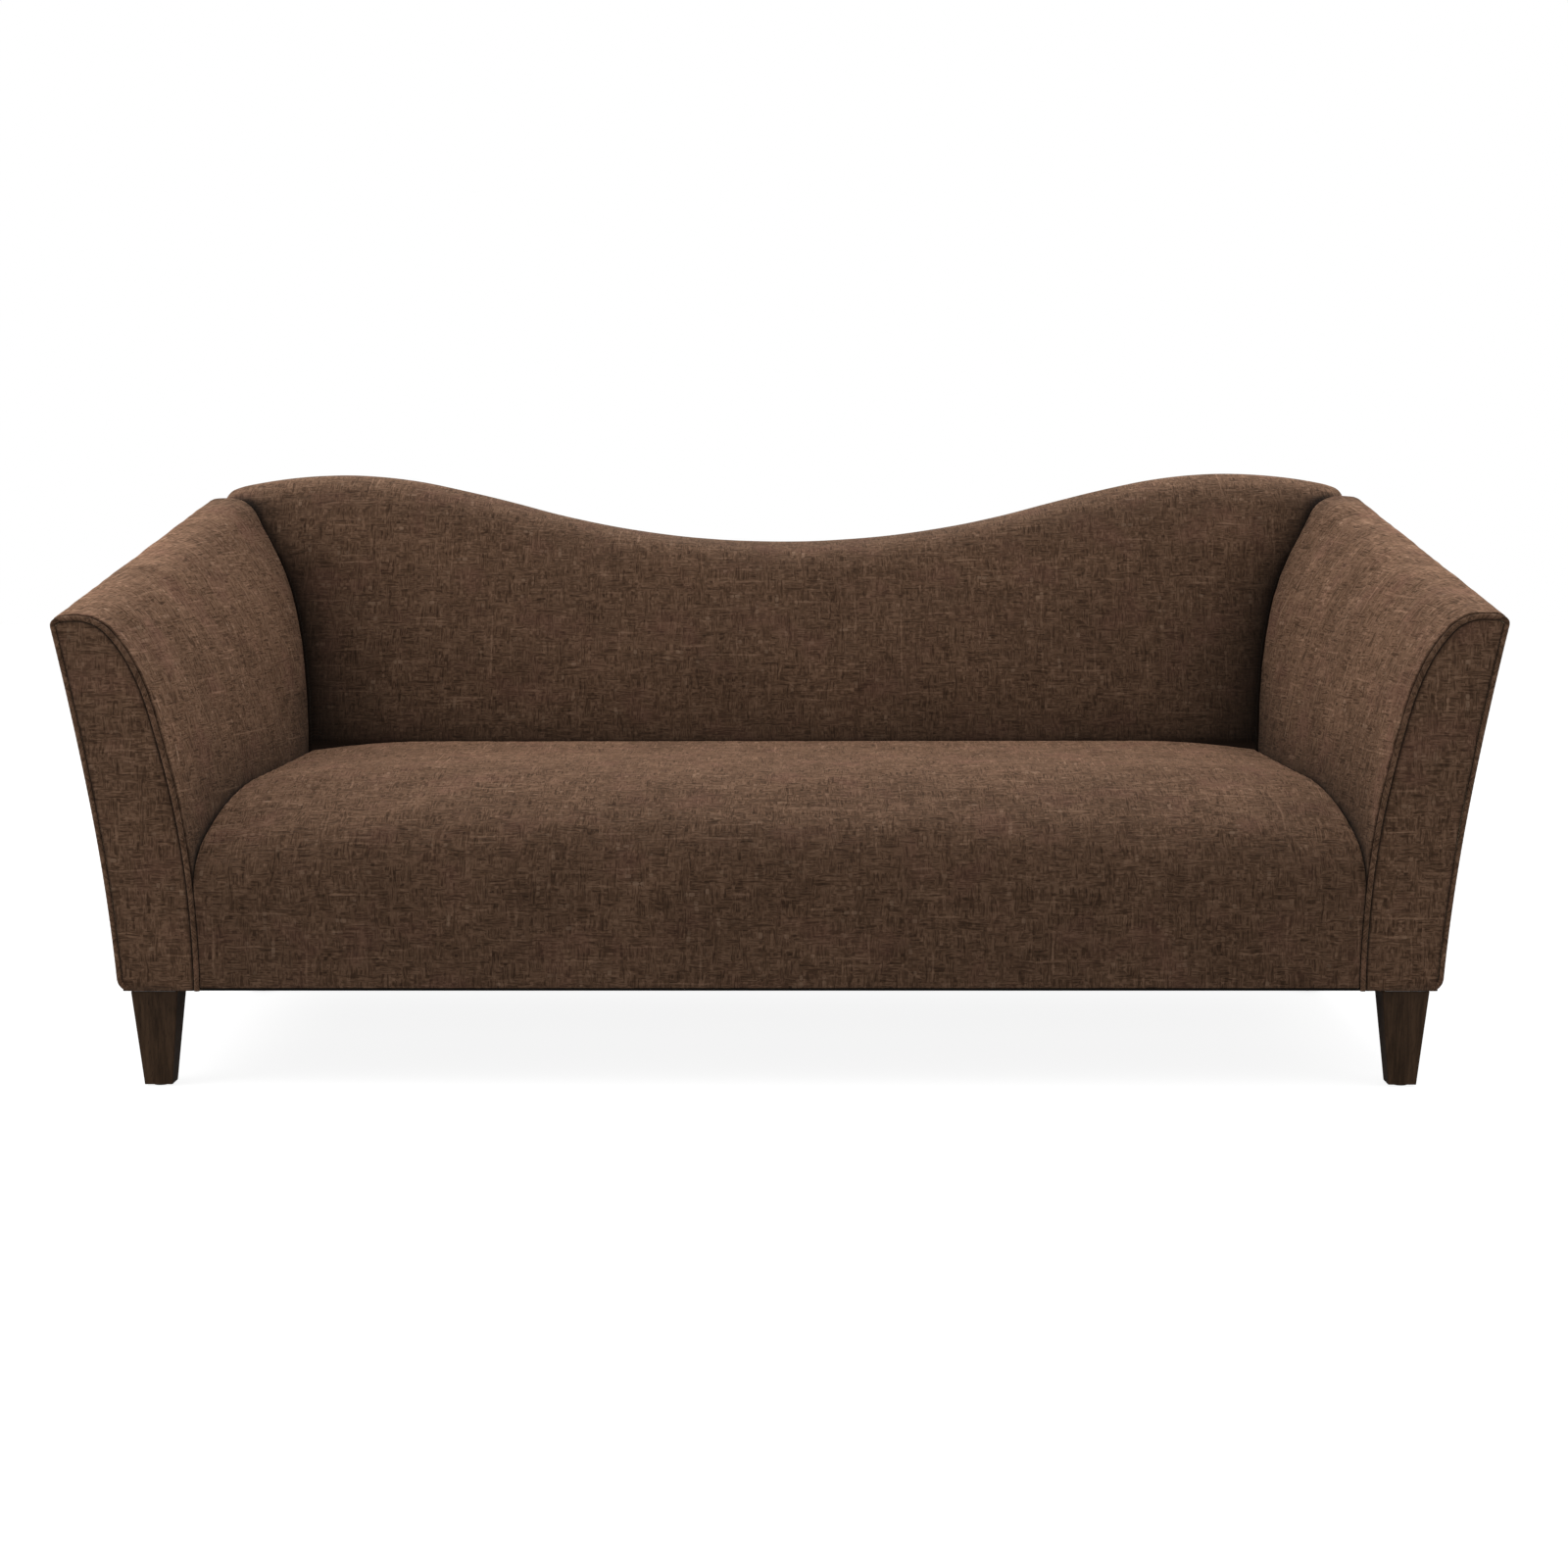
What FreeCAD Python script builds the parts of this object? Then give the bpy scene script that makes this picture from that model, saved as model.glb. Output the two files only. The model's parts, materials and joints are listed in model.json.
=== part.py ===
import FreeCAD, Part
import math
import os
import Sketcher
from FreeCAD import Vector

# A three-seat sofa with a tight seat, a tight serpentine back and flared sloping arms.
# Millimetres, +Z up, the front towards -Y, the floor at Z = 0 and the middle of the
# sofa at X = 0. Right is the side with positive X, as someone facing the sofa sees it.

doc = FreeCAD.newDocument("sofa")
sheet = doc.addObject("Spreadsheet::Sheet", "Sizes")

# Each driving size has one row: its name, its value and what it measures.
SIZES = [
    ("overall_depth", 890, "front of the arms to the back of the back"),
    ("body_depth_low", 865, "front of the arms to the back, at the underside"),
    ("seat_front_width", 1734, "between the arms at their front feet"),
    ("seat_depth", 600, "front of the arms to the face of the back, at seat height"),
    ("seat_height", 468, "floor to the middle of the seat at the back"),
    ("seat_setback", 2, "front of the seat behind the front of the arms"),
    ("seat_hem", 4, "underside of the seat front above the underside of the arms"),
    ("seat_front_straight", 152, "upright part of the seat front above the underside"),
    ("seat_roll_depth", 71, "front of the seat to where its roll meets the top"),
    ("seat_roll_drop", 65, "that point below the middle of the seat"),
    ("seat_roll_angle", 24, "slope of the seat there, in degrees"),
    ("seat_rear_angle", 1.5, "slope of the seat at the back, in degrees"),
    ("seat_crown", 28, "how far the seat falls towards the arms"),
    ("seat_flat_half", 600, "half the width of the level part of the seat"),
    ("back_rake", 19, "lean of the face of the back, in degrees"),
    ("back_middle_height", 654, "underside to the top of the back in the middle"),
    ("back_crest_height", 772, "underside to the top of the back at its crests"),
    ("back_swell_rise", 59, "rise of the top from the middle to the steepest point"),
    ("back_swell_from_end", 545, "steepest point of the top from the end of the back"),
    ("back_crest_from_end", 205, "crest from the end of the back"),
    ("back_end_inset", 6, "end of the back inside the outer side of the arm"),
    ("back_end_drop", 31, "fall of the top from the crest to the end of the back"),
    ("back_end_round", 36, "width of the rounded end of the back"),
    ("back_end_thinning", 14, "how far the face draws in at the rounded end"),
    ("back_round_slope", 11.5, "fall of the top where the rounded end starts, in degrees"),
    ("back_end_slope", 31, "fall of the top at the end of the back, in degrees"),
    ("back_crown", 14, "swell of the face of the back in its middle"),
    ("back_front_radius", 60, "roll of the front of the back's top"),
    ("back_rear_radius", 38, "roll of the rear of the back's top"),
    ("arm_foot_thickness", 124, "arm's thickness at its front foot"),
    ("arm_toe_in", 107, "how far the inner face comes in from front to rear"),
    ("arm_front_height", 562, "underside to the arm's crown at the front"),
    ("arm_rear_height", 769, "underside to the arm's crown, carried on to the rear"),
    ("arm_front_waist_reach", 38, "lean of the inner face at its waist, front"),
    ("arm_rear_waist_reach", 19, "lean of the inner face at its waist, rear"),
    ("arm_front_neck_reach", 89, "lean of the inner face at its neck, front"),
    ("arm_rear_neck_reach", 97, "lean of the inner face at its neck, rear"),
    ("arm_front_crown_reach", 169, "lean of the arm's crown, front"),
    ("arm_rear_crown_reach", 184, "lean of the arm's crown, rear"),
    ("arm_front_outer_reach", 84, "flare of the outer face at its top, front"),
    ("arm_rear_outer_reach", -6, "flare of the outer face at its top, rear"),
    ("arm_corner_radius", 16, "outer corner of the arm's top"),
    ("arm_corner_drop", 1, "outer corner below the crown"),
    ("arm_foot_radius", 19, "outer corner of the arm's foot"),
    ("cover_thickness", 2, "upholstery fabric with its lining"),
    ("soft_gap", 0.3, "play between soft pieces"),
    ("arm_foam", 25, "foam on the inside and top of the arm"),
    ("arm_liner", 3.4, "fibreboard on the outside of the arm"),
    ("back_foam", 85, "foam on the face of the back"),
    ("back_foam_lip", 8, "rear lip of the back foam below the roll of the top"),
    ("welt_diameter", 8, "welt round the front panel of the arm"),
    ("panel_thickness", 8.5, "padded front panel of the arm"),
    ("panel_setback", 1, "face of the front panel behind the welt"),
    ("board_thickness", 22, "front board of the arm"),
    ("rail_thickness", 25, "boards of the seat and back frames"),
    ("rail_height", 130, "boards round the seat"),
    ("stretcher_height", 70, "boards across the seat"),
    ("stretcher_spacing", 640, "between the two boards across the seat"),
    ("block_side", 80, "legs of the triangular corner blocks"),
    ("block_height", 60, "height of the corner blocks"),
    ("frame_inset", 20, "side rails inside the outer foot of the arms"),
    ("tie_height", 60, "tie rails at the foot of the back and arms"),
    ("top_rail_height", 95, "serpentine rail of the back"),
    ("arm_rail_width", 40, "top rail of the arm"),
    ("arm_rail_height", 50, "top rail of the arm"),
    ("arm_rail_drop", 12, "top rail of the arm below its foam, at the front"),
    ("strap_width", 70, "seat webbing"),
    ("strap_thickness", 2, "webbing of the seat and back"),
    ("strap_pitch", 200, "between the middles of the seat straps"),
    ("strap_count", 9, "seat straps"),
    ("back_strap_width", 50, "back webbing"),
    ("back_strap_pitch", 85, "between the back straps, up the face"),
    ("back_strap_count", 5, "back straps"),
    ("felt_thickness", 4, "felt between the webbing and the seat foam"),
    ("dust_cover_thickness", 1, "cloth under the frame"),
    ("leg_height", 150, "floor to the underside of the arms"),
    ("leg_top_width", 70, "leg at its top, side to side"),
    ("leg_top_depth", 64, "leg at its top, front to back"),
    ("leg_foot_width", 42, "leg at its foot, side to side"),
    ("leg_foot_depth", 38, "leg at its foot, front to back"),
    ("leg_edge_radius", 2, "eased edges of the legs"),
    ("leg_front_setback", 14, "front legs behind the front of the arms"),
    ("leg_side_setback", 18, "legs inside the outer foot of the arms"),
    ("leg_spacing", 784, "front leg to rear leg"),
    ("glide_diameter", 22, "nylon glide under the leg"),
    ("glide_height", 3, "nylon glide under the leg"),
    ("plate_thickness", 3, "steel plate over the leg"),
    ("plate_margin", 4, "edge of the plate inside the top of the leg"),
    ("bolt_diameter", 8, "hanger bolt"),
    ("bolt_in_leg", 40, "hanger bolt below the plate"),
    ("bolt_in_frame", 45, "hanger bolt above the plate"),
    ("bolt_gap", 0.2, "play round the bolt"),
]
for row, (name, value, meaning) in enumerate(SIZES, start=1):
    sheet.set("A%d" % row, meaning)
    sheet.set("B%d" % row, str(value))
    sheet.setAlias("B%d" % row, name)
doc.recompute()


def size(name):
    return float(sheet.get(name))


def slope_of(name):
    return math.tan(math.radians(size(name)))


# Places that several pieces share.
half_depth = size("overall_depth") / 2
front = -half_depth
underside = size("leg_height")
inner_foot = size("seat_front_width") / 2
outer_foot = inner_foot + size("arm_foot_thickness")
back_half = outer_foot - size("back_end_inset")
frame_half = outer_foot - size("frame_inset")
cover = size("cover_thickness")
gap = size("soft_gap")
rail_top = underside + size("rail_height")
deck = rail_top + size("strap_thickness") + size("felt_thickness") + 2 * gap
crest_top = underside + size("back_crest_height")
panel_rear = front + size("panel_setback") + size("panel_thickness")
board_front = panel_rear + gap
board_rear = board_front + size("board_thickness")
rail_rear = board_rear + size("rail_thickness")
arm_padding = cover + gap + size("arm_foam")
side_axis = Vector(0, 1, 0)
end_axis = Vector(-1, 0, 0)


# The face of the back leans by back_rake through the seat line.
def face_y(z):
    return front + size("seat_depth") + (z - size("seat_height")) * slope_of("back_rake")


# The rear of the back leans from body_depth_low at the underside to the overall depth.
rear_high = crest_top - size("back_rear_radius")
rear_slope = (size("overall_depth") - size("body_depth_low")) / (rear_high - underside)


def rear_y(z):
    return half_depth + (z - rear_high) * rear_slope


def direction(degrees, axis):
    # A unit vector at this angle above the horizontal, along +X or along +Y.
    along = math.cos(math.radians(degrees))
    up = math.sin(math.radians(degrees))
    if axis is side_axis:
        return Vector(along, 0, up)
    return Vector(0, along, up)


# A chain is a list of pieces, each with a start, a middle and an end, and each of those
# is a point with its tangent. Two tangent arcs join each pair of nodes.
def arc_piece(start, start_tangent, corner, end, end_tangent):
    chord = end - start
    foot = start + chord * 0.5
    rise = corner - foot
    half = chord.Length / 2
    along = chord.normalize()
    if rise.Length < 1e-7:
        return [(start, along), (foot, along), (end, along)]
    radius = half * (corner - start).Length / rise.Length
    sagitta = radius - math.sqrt(max(radius * radius - half * half, 0))
    middle = foot + rise.normalize() * sagitta
    return [(start, start_tangent), (middle, along), (end, end_tangent)]


def chain(nodes):
    pieces = []
    for (start, first), (end, last) in zip(nodes, nodes[1:]):
        step = end - start
        bend = 2 * (1 - first.dot(last))
        reach = step.dot(first + last)
        if bend < 1e-9:
            length = step.dot(step) / (2 * reach)
        else:
            length = (-reach + math.sqrt(reach * reach + bend * step.dot(step))) / bend
        near = start + first * length
        far = end - last * length
        joint = (near + far) * 0.5
        along = (far - near).normalize()
        pieces.append(arc_piece(start, first, near, joint, along))
        pieces.append(arc_piece(joint, along, far, end, last))
    return pieces


# The same chain moved inwards by a distance, square to itself.
def inset(pieces, distance, axis):
    return [[(point - tangent.cross(axis) * distance, tangent) for point, tangent in piece]
            for piece in pieces]


def edges_of(pieces):
    edges = []
    for (start, first), (middle, along), (end, last) in pieces:
        if (middle - (start + end) * 0.5).Length < 1e-6:
            edges.append(Part.LineSegment(start, end).toShape())
        else:
            edges.append(Part.Arc(start, middle, end).toShape())
    return edges


def reversed_edges(pieces):
    back = [[piece[2], piece[1], piece[0]] for piece in reversed(pieces)]
    return edges_of(back)


def closed_wire(edges, *corners):
    # Lines through these corners join the end of the edges to their start.
    first = edges[0].firstVertex(True).Point
    last = edges[-1].lastVertex(True).Point
    points = [last] + list(corners) + [first]
    lines = [Part.LineSegment(a, b).toShape() for a, b in zip(points, points[1:])]
    return Part.Wire(edges + lines)


def band_wire(pieces, near, far, axis):
    # A strip of even thickness that follows the chain.
    outer = edges_of(inset(pieces, near, axis))
    inner = reversed_edges(inset(pieces, far, axis))
    link = Part.LineSegment(outer[-1].lastVertex(True).Point, inner[0].firstVertex(True).Point)
    return closed_wire(outer + [link.toShape()] + inner)


def loft(wires, ruled):
    return Part.makeLoft(wires, True, ruled)


def box(x0, x1, y0, y1, z0, z1):
    return Part.makeBox(x1 - x0, y1 - y0, z1 - z0, Vector(x0, y0, z0))


def prism(points, travel):
    # Points of a flat outline, swept along a vector.
    return Part.Face(Part.makePolygon(points + [points[0]])).extrude(travel)


def mirrored(shape):
    return shape.mirror(Vector(0, 0, 0), Vector(1, 0, 0))


def single(shape):
    # The one solid of a cut, without the compound round it.
    solids = shape.Solids
    if len(solids) == 1:
        return solids[0]
    return shape


pieces_made = {}


def add_shape(name, shape):
    item = doc.addObject("Part::Feature", name)
    item.Label = name
    item.Shape = single(shape)
    item.Placement = FreeCAD.Placement()
    pieces_made[name] = item
    return item


def add_pair(name, shape):
    add_shape("right_" + name, shape)
    add_shape("left_" + name, mirrored(shape))


# Bolts through the plates into the frame, at the middle of each leg.
leg_x = outer_foot - size("leg_side_setback") - size("leg_top_width") / 2
leg_front_y = front + size("leg_front_setback") + size("leg_top_depth") / 2
leg_places = {
    "left_front": (-leg_x, leg_front_y),
    "right_front": (leg_x, leg_front_y),
    "left_rear": (-leg_x, leg_front_y + size("leg_spacing")),
    "right_rear": (leg_x, leg_front_y + size("leg_spacing")),
}
bolt_hole_radius = size("bolt_diameter") / 2 + size("bolt_gap")


def drilled(shape):
    for x, y in leg_places.values():
        if shape.BoundBox.isInside(Vector(x, y, underside + 1)):
            depth = size("bolt_in_frame") + gap
            shape = shape.cut(Part.makeCylinder(bolt_hole_radius, depth, Vector(x, y, underside)))
    return shape


# The arm. Its section at any distance from the front lies between two sections, at the
# front and at the rear, each with a foot, a waist, a neck, a crown and an outer corner.
waist_share = 0.607
neck_share = 0.886
# Directions of the section at those places, in degrees, at the front and at the rear.
foot_lean = (90, 90)
waist_lean = (76.5, 81)
neck_lean = (62, 55)
crown_lean = (0, 0)
corner_lean = (-5, -8)
outer_bow = (4, 0)


def arm_nodes(y):
    share = (y - front) / size("overall_depth")
    ends = []
    for k, (end, toe) in enumerate((("front", 0), ("rear", size("arm_toe_in")))):
        height = size("arm_%s_height" % end)
        foot = inner_foot - toe
        outer = outer_foot + size("arm_%s_outer_reach" % end)
        top = underside + height
        corner = top - size("arm_corner_drop")
        side = math.degrees(math.atan2(height, size("arm_%s_outer_reach" % end)))
        ends.append([
            (foot, underside, foot_lean[k]),
            (foot + size("arm_%s_waist_reach" % end), underside + height * waist_share,
             waist_lean[k]),
            (foot + size("arm_%s_neck_reach" % end), underside + height * neck_share,
             neck_lean[k]),
            (foot + size("arm_%s_crown_reach" % end), top, crown_lean[k]),
            (outer - size("arm_corner_radius"), corner, corner_lean[k]),
            (outer, corner - size("arm_corner_radius"), side - 180 - outer_bow[k]),
            (outer_foot, underside + size("arm_foot_radius"), side - 180 + outer_bow[k]),
            (outer_foot - size("arm_foot_radius"), underside, -180),
        ])
    nodes = []
    for (x0, z0, a0), (x1, z1, a1) in zip(*ends):
        point = Vector(x0 + (x1 - x0) * share, y, z0 + (z1 - z0) * share)
        nodes.append((point, direction(a0 + (a1 - a0) * share, side_axis)))
    return nodes


def arm_chain(y, first, last):
    return chain(arm_nodes(y)[first:last + 1])


FOOT, CROWN, CORNER, CORNER_END, HEM, LAST = 0, 3, 4, 5, 6, 7


def arm_band(y0, y1, first, last, near, far):
    wires = [band_wire(arm_chain(y, first, last), near, far, side_axis) for y in (y0, y1)]
    return loft(wires, True)


# Everything on the arm's side of its inner face, moved inwards by a distance.
def arm_side(distance, y0, y1):
    wide = outer_foot + size("overall_depth")
    wires = []
    for y in (y0, y1):
        line = inset(arm_chain(y, FOOT, CORNER), distance, side_axis)
        start = line[0][0][0]
        end = line[-1][2][0]
        edges = edges_of(line)
        corners = [Vector(wide, y, end.z), Vector(wide, y, 0), Vector(start.x, y, 0)]
        wires.append(closed_wire(edges, *corners))
    return loft(wires, True)


high = crest_top * 2
wide = outer_foot * 2


def behind_face(distance, low):
    # The space behind the face of the back, moved by a distance, above a height.
    points = [Vector(-wide, face_y(low) + distance, low),
              Vector(-wide, face_y(high) + distance, high),
              Vector(-wide, face_y(high) + wide, high),
              Vector(-wide, face_y(high) + wide, low)]
    return prism(points, Vector(2 * wide, 0, 0))


def behind_rear(distance, low):
    points = [Vector(-wide, rear_y(low) + distance, low),
              Vector(-wide, rear_y(high) + distance, high),
              Vector(-wide, rear_y(high) + wide, high),
              Vector(-wide, rear_y(high) + wide, low)]
    return prism(points, Vector(2 * wide, 0, 0))


# Top of the back: a dip in the middle, a crest near each end and a rounded end.
swell_x = back_half - size("back_swell_from_end")
crest_x = back_half - size("back_crest_from_end")
end_start = back_half - size("back_end_round")
end_top = crest_top - size("back_end_drop")
middle_top = underside + size("back_middle_height")
swell_angle = 2 * math.degrees(math.atan(size("back_swell_rise") / swell_x))
# Share of the end's fall that is done where the rounded end starts.
end_share = 0.55
top_nodes = [
    (Vector(0, 0, middle_top), direction(0, side_axis)),
    (Vector(swell_x, 0, middle_top + size("back_swell_rise")), direction(swell_angle, side_axis)),
    (Vector(crest_x, 0, crest_top), direction(0, side_axis)),
    (Vector(end_start, 0, crest_top - size("back_end_drop") * end_share),
     direction(-size("back_round_slope"), side_axis)),
    (Vector(back_half, 0, end_top), direction(-size("back_end_slope"), side_axis)),
]
top_chain = chain(top_nodes)


def back_top(x):
    # Height of the top of the back at this distance from the middle.
    x = min(abs(x), back_half - 0.001)
    for (start, first), (middle, along), (end, last) in top_chain:
        if start.x <= x <= end.x:
            bulge = middle - (start + end) * 0.5
            if bulge.Length < 1e-6:
                return start.z + (end.z - start.z) * (x - start.x) / (end.x - start.x)
            half = (end - start).Length / 2
            radius = (half * half + bulge.Length ** 2) / (2 * bulge.Length)
            centre = middle - bulge.normalize() * radius
            lift = math.sqrt(radius * radius - (x - centre.x) ** 2)
            return centre.z + math.copysign(lift, middle.z - centre.z)
    return end_top


top_padding = size("back_rear_radius") + size("back_foam_lip")
wing_floor = end_top - top_padding - gap


# Seat frame: boards on edge round the seat, with two across it.
rear_gap = cover + gap
back_rail_rear = rear_y(underside) - rear_gap
back_rail_front = back_rail_rear - size("rail_thickness")


def add_rail(name, x0, x1, y0, y1, z0, z1):
    add_shape(name, drilled(box(x0, x1, y0, y1, z0, z1)))


add_rail("front_rail", -frame_half, frame_half, board_rear, rail_rear, underside, rail_top)
add_rail("back_rail", -frame_half, frame_half, back_rail_front, back_rail_rear, underside, rail_top)
side_in = frame_half - size("rail_thickness")
add_rail("right_side_rail", side_in, frame_half, rail_rear, back_rail_front, underside, rail_top)
add_rail("left_side_rail", -frame_half, -side_in, rail_rear, back_rail_front, underside, rail_top)

# The seat stretchers are plain boards, so each is a box bound to the sheet.
sheet_front = "-Sizes.overall_depth / 2"
rail_rear_formula = (sheet_front + " + Sizes.panel_setback + Sizes.panel_thickness"
                     " + Sizes.soft_gap + Sizes.board_thickness + Sizes.rail_thickness")
sheet.set("A100", "rear face of the front rail")
sheet.set("B100", "=" + rail_rear_formula.replace("Sizes.", ""))
sheet.setAlias("B100", "front_rail_rear")
sheet.set("A101", "front face of the back rail")
sheet.set("B101", "=body_depth_low - overall_depth / 2 - cover_thickness - soft_gap"
          " - rail_thickness")
sheet.setAlias("B101", "back_rail_front")
doc.recompute()
for name, sign in (("left_seat_stretcher", "-1"), ("right_seat_stretcher", "1")):
    board = doc.addObject("Part::Box", name)
    board.Label = name
    board.setExpression("Length", "Sizes.rail_thickness")
    board.setExpression("Width", "Sizes.back_rail_front - Sizes.front_rail_rear")
    board.setExpression("Height", "Sizes.stretcher_height")
    board.setExpression("Placement.Base.x",
                        sign + " * Sizes.stretcher_spacing / 2 - Sizes.rail_thickness / 2")
    board.setExpression("Placement.Base.y", "Sizes.front_rail_rear")
    board.setExpression("Placement.Base.z", "Sizes.leg_height")
    pieces_made[name] = board

# A triangular block fills each corner of the seat frame.
side = size("block_side")
for end, corner_y, inward in (("front", rail_rear, 1), ("rear", back_rail_front, -1)):
    points = [Vector(side_in, corner_y, underside), Vector(side_in - side, corner_y, underside),
              Vector(side_in, corner_y + inward * side, underside)]
    block = drilled(prism(points, Vector(0, 0, size("block_height"))))
    add_pair(end + "_corner_block", block)


# Legs are square tapers with eased edges, and plates are flat rectangles.
def origin_plane(body, role):
    for feature in body.Origin.OriginFeatures:
        if feature.Role == role:
            return feature
    return None


def rectangle_sketch(body, name, width, depth, lift):
    sketch = body.newObject("Sketcher::SketchObject", name)
    sketch.AttachmentSupport = (origin_plane(body, "XY_Plane"), [""])
    sketch.MapMode = "FlatFace"
    sketch.setExpression("AttachmentOffset.Base.z", lift)
    corners = [Vector(x, y, 0) for x, y in ((-1, -1), (1, -1), (1, 1), (-1, 1))]
    for index in range(4):
        line = Part.LineSegment(corners[index], corners[(index + 1) % 4])
        sketch.addGeometry(line, False)
    for index in range(4):
        sketch.addConstraint(Sketcher.Constraint("Coincident", index, 2, (index + 1) % 4, 1))
    for index, kind in enumerate(("Horizontal", "Vertical", "Horizontal", "Vertical")):
        sketch.addConstraint(Sketcher.Constraint(kind, index))
    sketch.addConstraint(Sketcher.Constraint("Symmetric", 0, 1, 2, 1, -1, 1))
    across = sketch.addConstraint(Sketcher.Constraint("DistanceX", 0, 1, 0, 2, 2.0))
    sketch.renameConstraint(across, "across")
    deep = sketch.addConstraint(Sketcher.Constraint("DistanceY", 1, 1, 1, 2, 2.0))
    sketch.renameConstraint(deep, "deep")
    sketch.setExpression("Constraints.across", width)
    sketch.setExpression("Constraints.deep", depth)
    return sketch


def circle_sketch(body, name, diameter, lift):
    sketch = body.newObject("Sketcher::SketchObject", name)
    sketch.AttachmentSupport = (origin_plane(body, "XY_Plane"), [""])
    sketch.MapMode = "FlatFace"
    sketch.setExpression("AttachmentOffset.Base.z", lift)
    sketch.addGeometry(Part.Circle(Vector(0, 0, 0), Vector(0, 0, 1), 1), False)
    sketch.addConstraint(Sketcher.Constraint("Coincident", 0, 3, -1, 1))
    round_size = sketch.addConstraint(Sketcher.Constraint("Diameter", 0, 2.0))
    sketch.renameConstraint(round_size, "across")
    sketch.setExpression("Constraints.across", diameter)
    return sketch


def new_body(name, place):
    body = doc.addObject("PartDesign::Body", name)
    body.Label = name
    body.Placement = FreeCAD.Placement(Vector(place[0], place[1], 0), FreeCAD.Rotation())
    pieces_made[name] = body
    return body


def drill_body(body, name, lift, depth, upwards):
    # A round hole on the body's own axis, from this height down or up.
    sketch = circle_sketch(body, name + "_outline", "Sizes.bolt_diameter + 2 * Sizes.bolt_gap", lift)
    doc.recompute()
    whole = body.Shape.Volume
    pocket = body.newObject("PartDesign::Pocket", name)
    pocket.Profile = sketch
    pocket.setExpression("Length", depth)
    pocket.Reversed = upwards
    doc.recompute()
    if body.Shape.Volume > whole - 1:
        raise ValueError(body.Label + ": the bolt hole cuts nothing")


# The wedge grows along its own Y axis, which stands upright in the leg.
LEG_WEDGE = {
    "Xmin": "-Sizes.leg_foot_width / 2",
    "Xmax": "Sizes.leg_foot_width / 2",
    "Zmin": "-Sizes.leg_foot_depth / 2",
    "Zmax": "Sizes.leg_foot_depth / 2",
    "X2min": "-Sizes.leg_top_width / 2",
    "X2max": "Sizes.leg_top_width / 2",
    "Z2min": "-Sizes.leg_top_depth / 2",
    "Z2max": "Sizes.leg_top_depth / 2",
    "Ymin": "Sizes.glide_height",
    "Ymax": "Sizes.leg_height - Sizes.plate_thickness",
}
for place_name, place in leg_places.items():
    leg = new_body(place_name + "_leg", place)
    taper = leg.newObject("PartDesign::AdditiveWedge", place_name + "_taper")
    for edge, formula in LEG_WEDGE.items():
        taper.setExpression(edge, formula)
    taper.Placement = FreeCAD.Placement(Vector(0, 0, 0), FreeCAD.Rotation(Vector(1, 0, 0), 90))
    doc.recompute()
    upright_edges = ["Edge%d" % (index + 1) for index, edge in enumerate(leg.Shape.Edges)
                     if abs(edge.Vertexes[0].Z - edge.Vertexes[1].Z) > underside / 2]
    easing = leg.newObject("PartDesign::Fillet", place_name + "_easing")
    easing.Base = (taper, upright_edges)
    easing.setExpression("Radius", "Sizes.leg_edge_radius")
    doc.recompute()
    drill_body(leg, place_name + "_bolt_hole", "Sizes.leg_height - Sizes.plate_thickness",
               "Sizes.bolt_in_leg + Sizes.soft_gap", False)

    plate = new_body(place_name + "_leg_plate", place)
    outline = rectangle_sketch(plate, place_name + "_plate_outline",
                               "Sizes.leg_top_width - 2 * Sizes.plate_margin",
                               "Sizes.leg_top_depth - 2 * Sizes.plate_margin",
                               "Sizes.leg_height - Sizes.plate_thickness")
    pad = plate.newObject("PartDesign::Pad", place_name + "_plate_pad")
    pad.Profile = outline
    pad.setExpression("Length", "Sizes.plate_thickness")
    drill_body(plate, place_name + "_plate_hole", "Sizes.leg_height", "Sizes.plate_thickness",
               False)

    bolt = doc.addObject("Part::Cylinder", place_name + "_bolt")
    bolt.Label = place_name + "_bolt"
    bolt.setExpression("Radius", "Sizes.bolt_diameter / 2")
    bolt.setExpression("Height",
                       "Sizes.bolt_in_leg + Sizes.plate_thickness + Sizes.bolt_in_frame")
    bolt.Placement.Base = Vector(place[0], place[1], 0)
    bolt.setExpression("Placement.Base.z",
                       "Sizes.leg_height - Sizes.plate_thickness - Sizes.bolt_in_leg")
    pieces_made[bolt.Label] = bolt

    glide = doc.addObject("Part::Cylinder", place_name + "_glide")
    glide.Label = place_name + "_glide"
    glide.setExpression("Radius", "Sizes.glide_diameter / 2")
    glide.setExpression("Height", "Sizes.glide_height")
    glide.Placement.Base = Vector(place[0], place[1], 0)
    pieces_made[glide.Label] = glide

# Where the hem of the outside of the arm ends, under the foot of the arm.
hem_end = outer_foot - size("arm_foot_radius") - gap

# Front board of each arm, cut to the arm's horn shape inside its padding.
board_padding = arm_padding + gap
board_outer = cover + size("arm_liner") + 2 * gap


def board_wire(y):
    inner = inset(arm_chain(y, FOOT, CORNER), board_padding, side_axis)
    outer = inset(arm_chain(y, CORNER_END, HEM), board_outer, side_axis)
    link = Part.LineSegment(inner[-1][2][0], outer[0][0][0]).toShape()
    edges = edges_of(inner) + [link] + edges_of(outer)
    return closed_wire(edges, Vector(hem_end, y, underside + cover + gap),
                       Vector(hem_end, y, underside))


add_pair("arm_front_board", drilled(loft([board_wire(board_front), board_wire(board_rear)], True)))

# Back posts and uprights: boards whose front edges follow the lean of the back.
post_front = size("back_foam") + gap + size("strap_thickness") + gap


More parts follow.
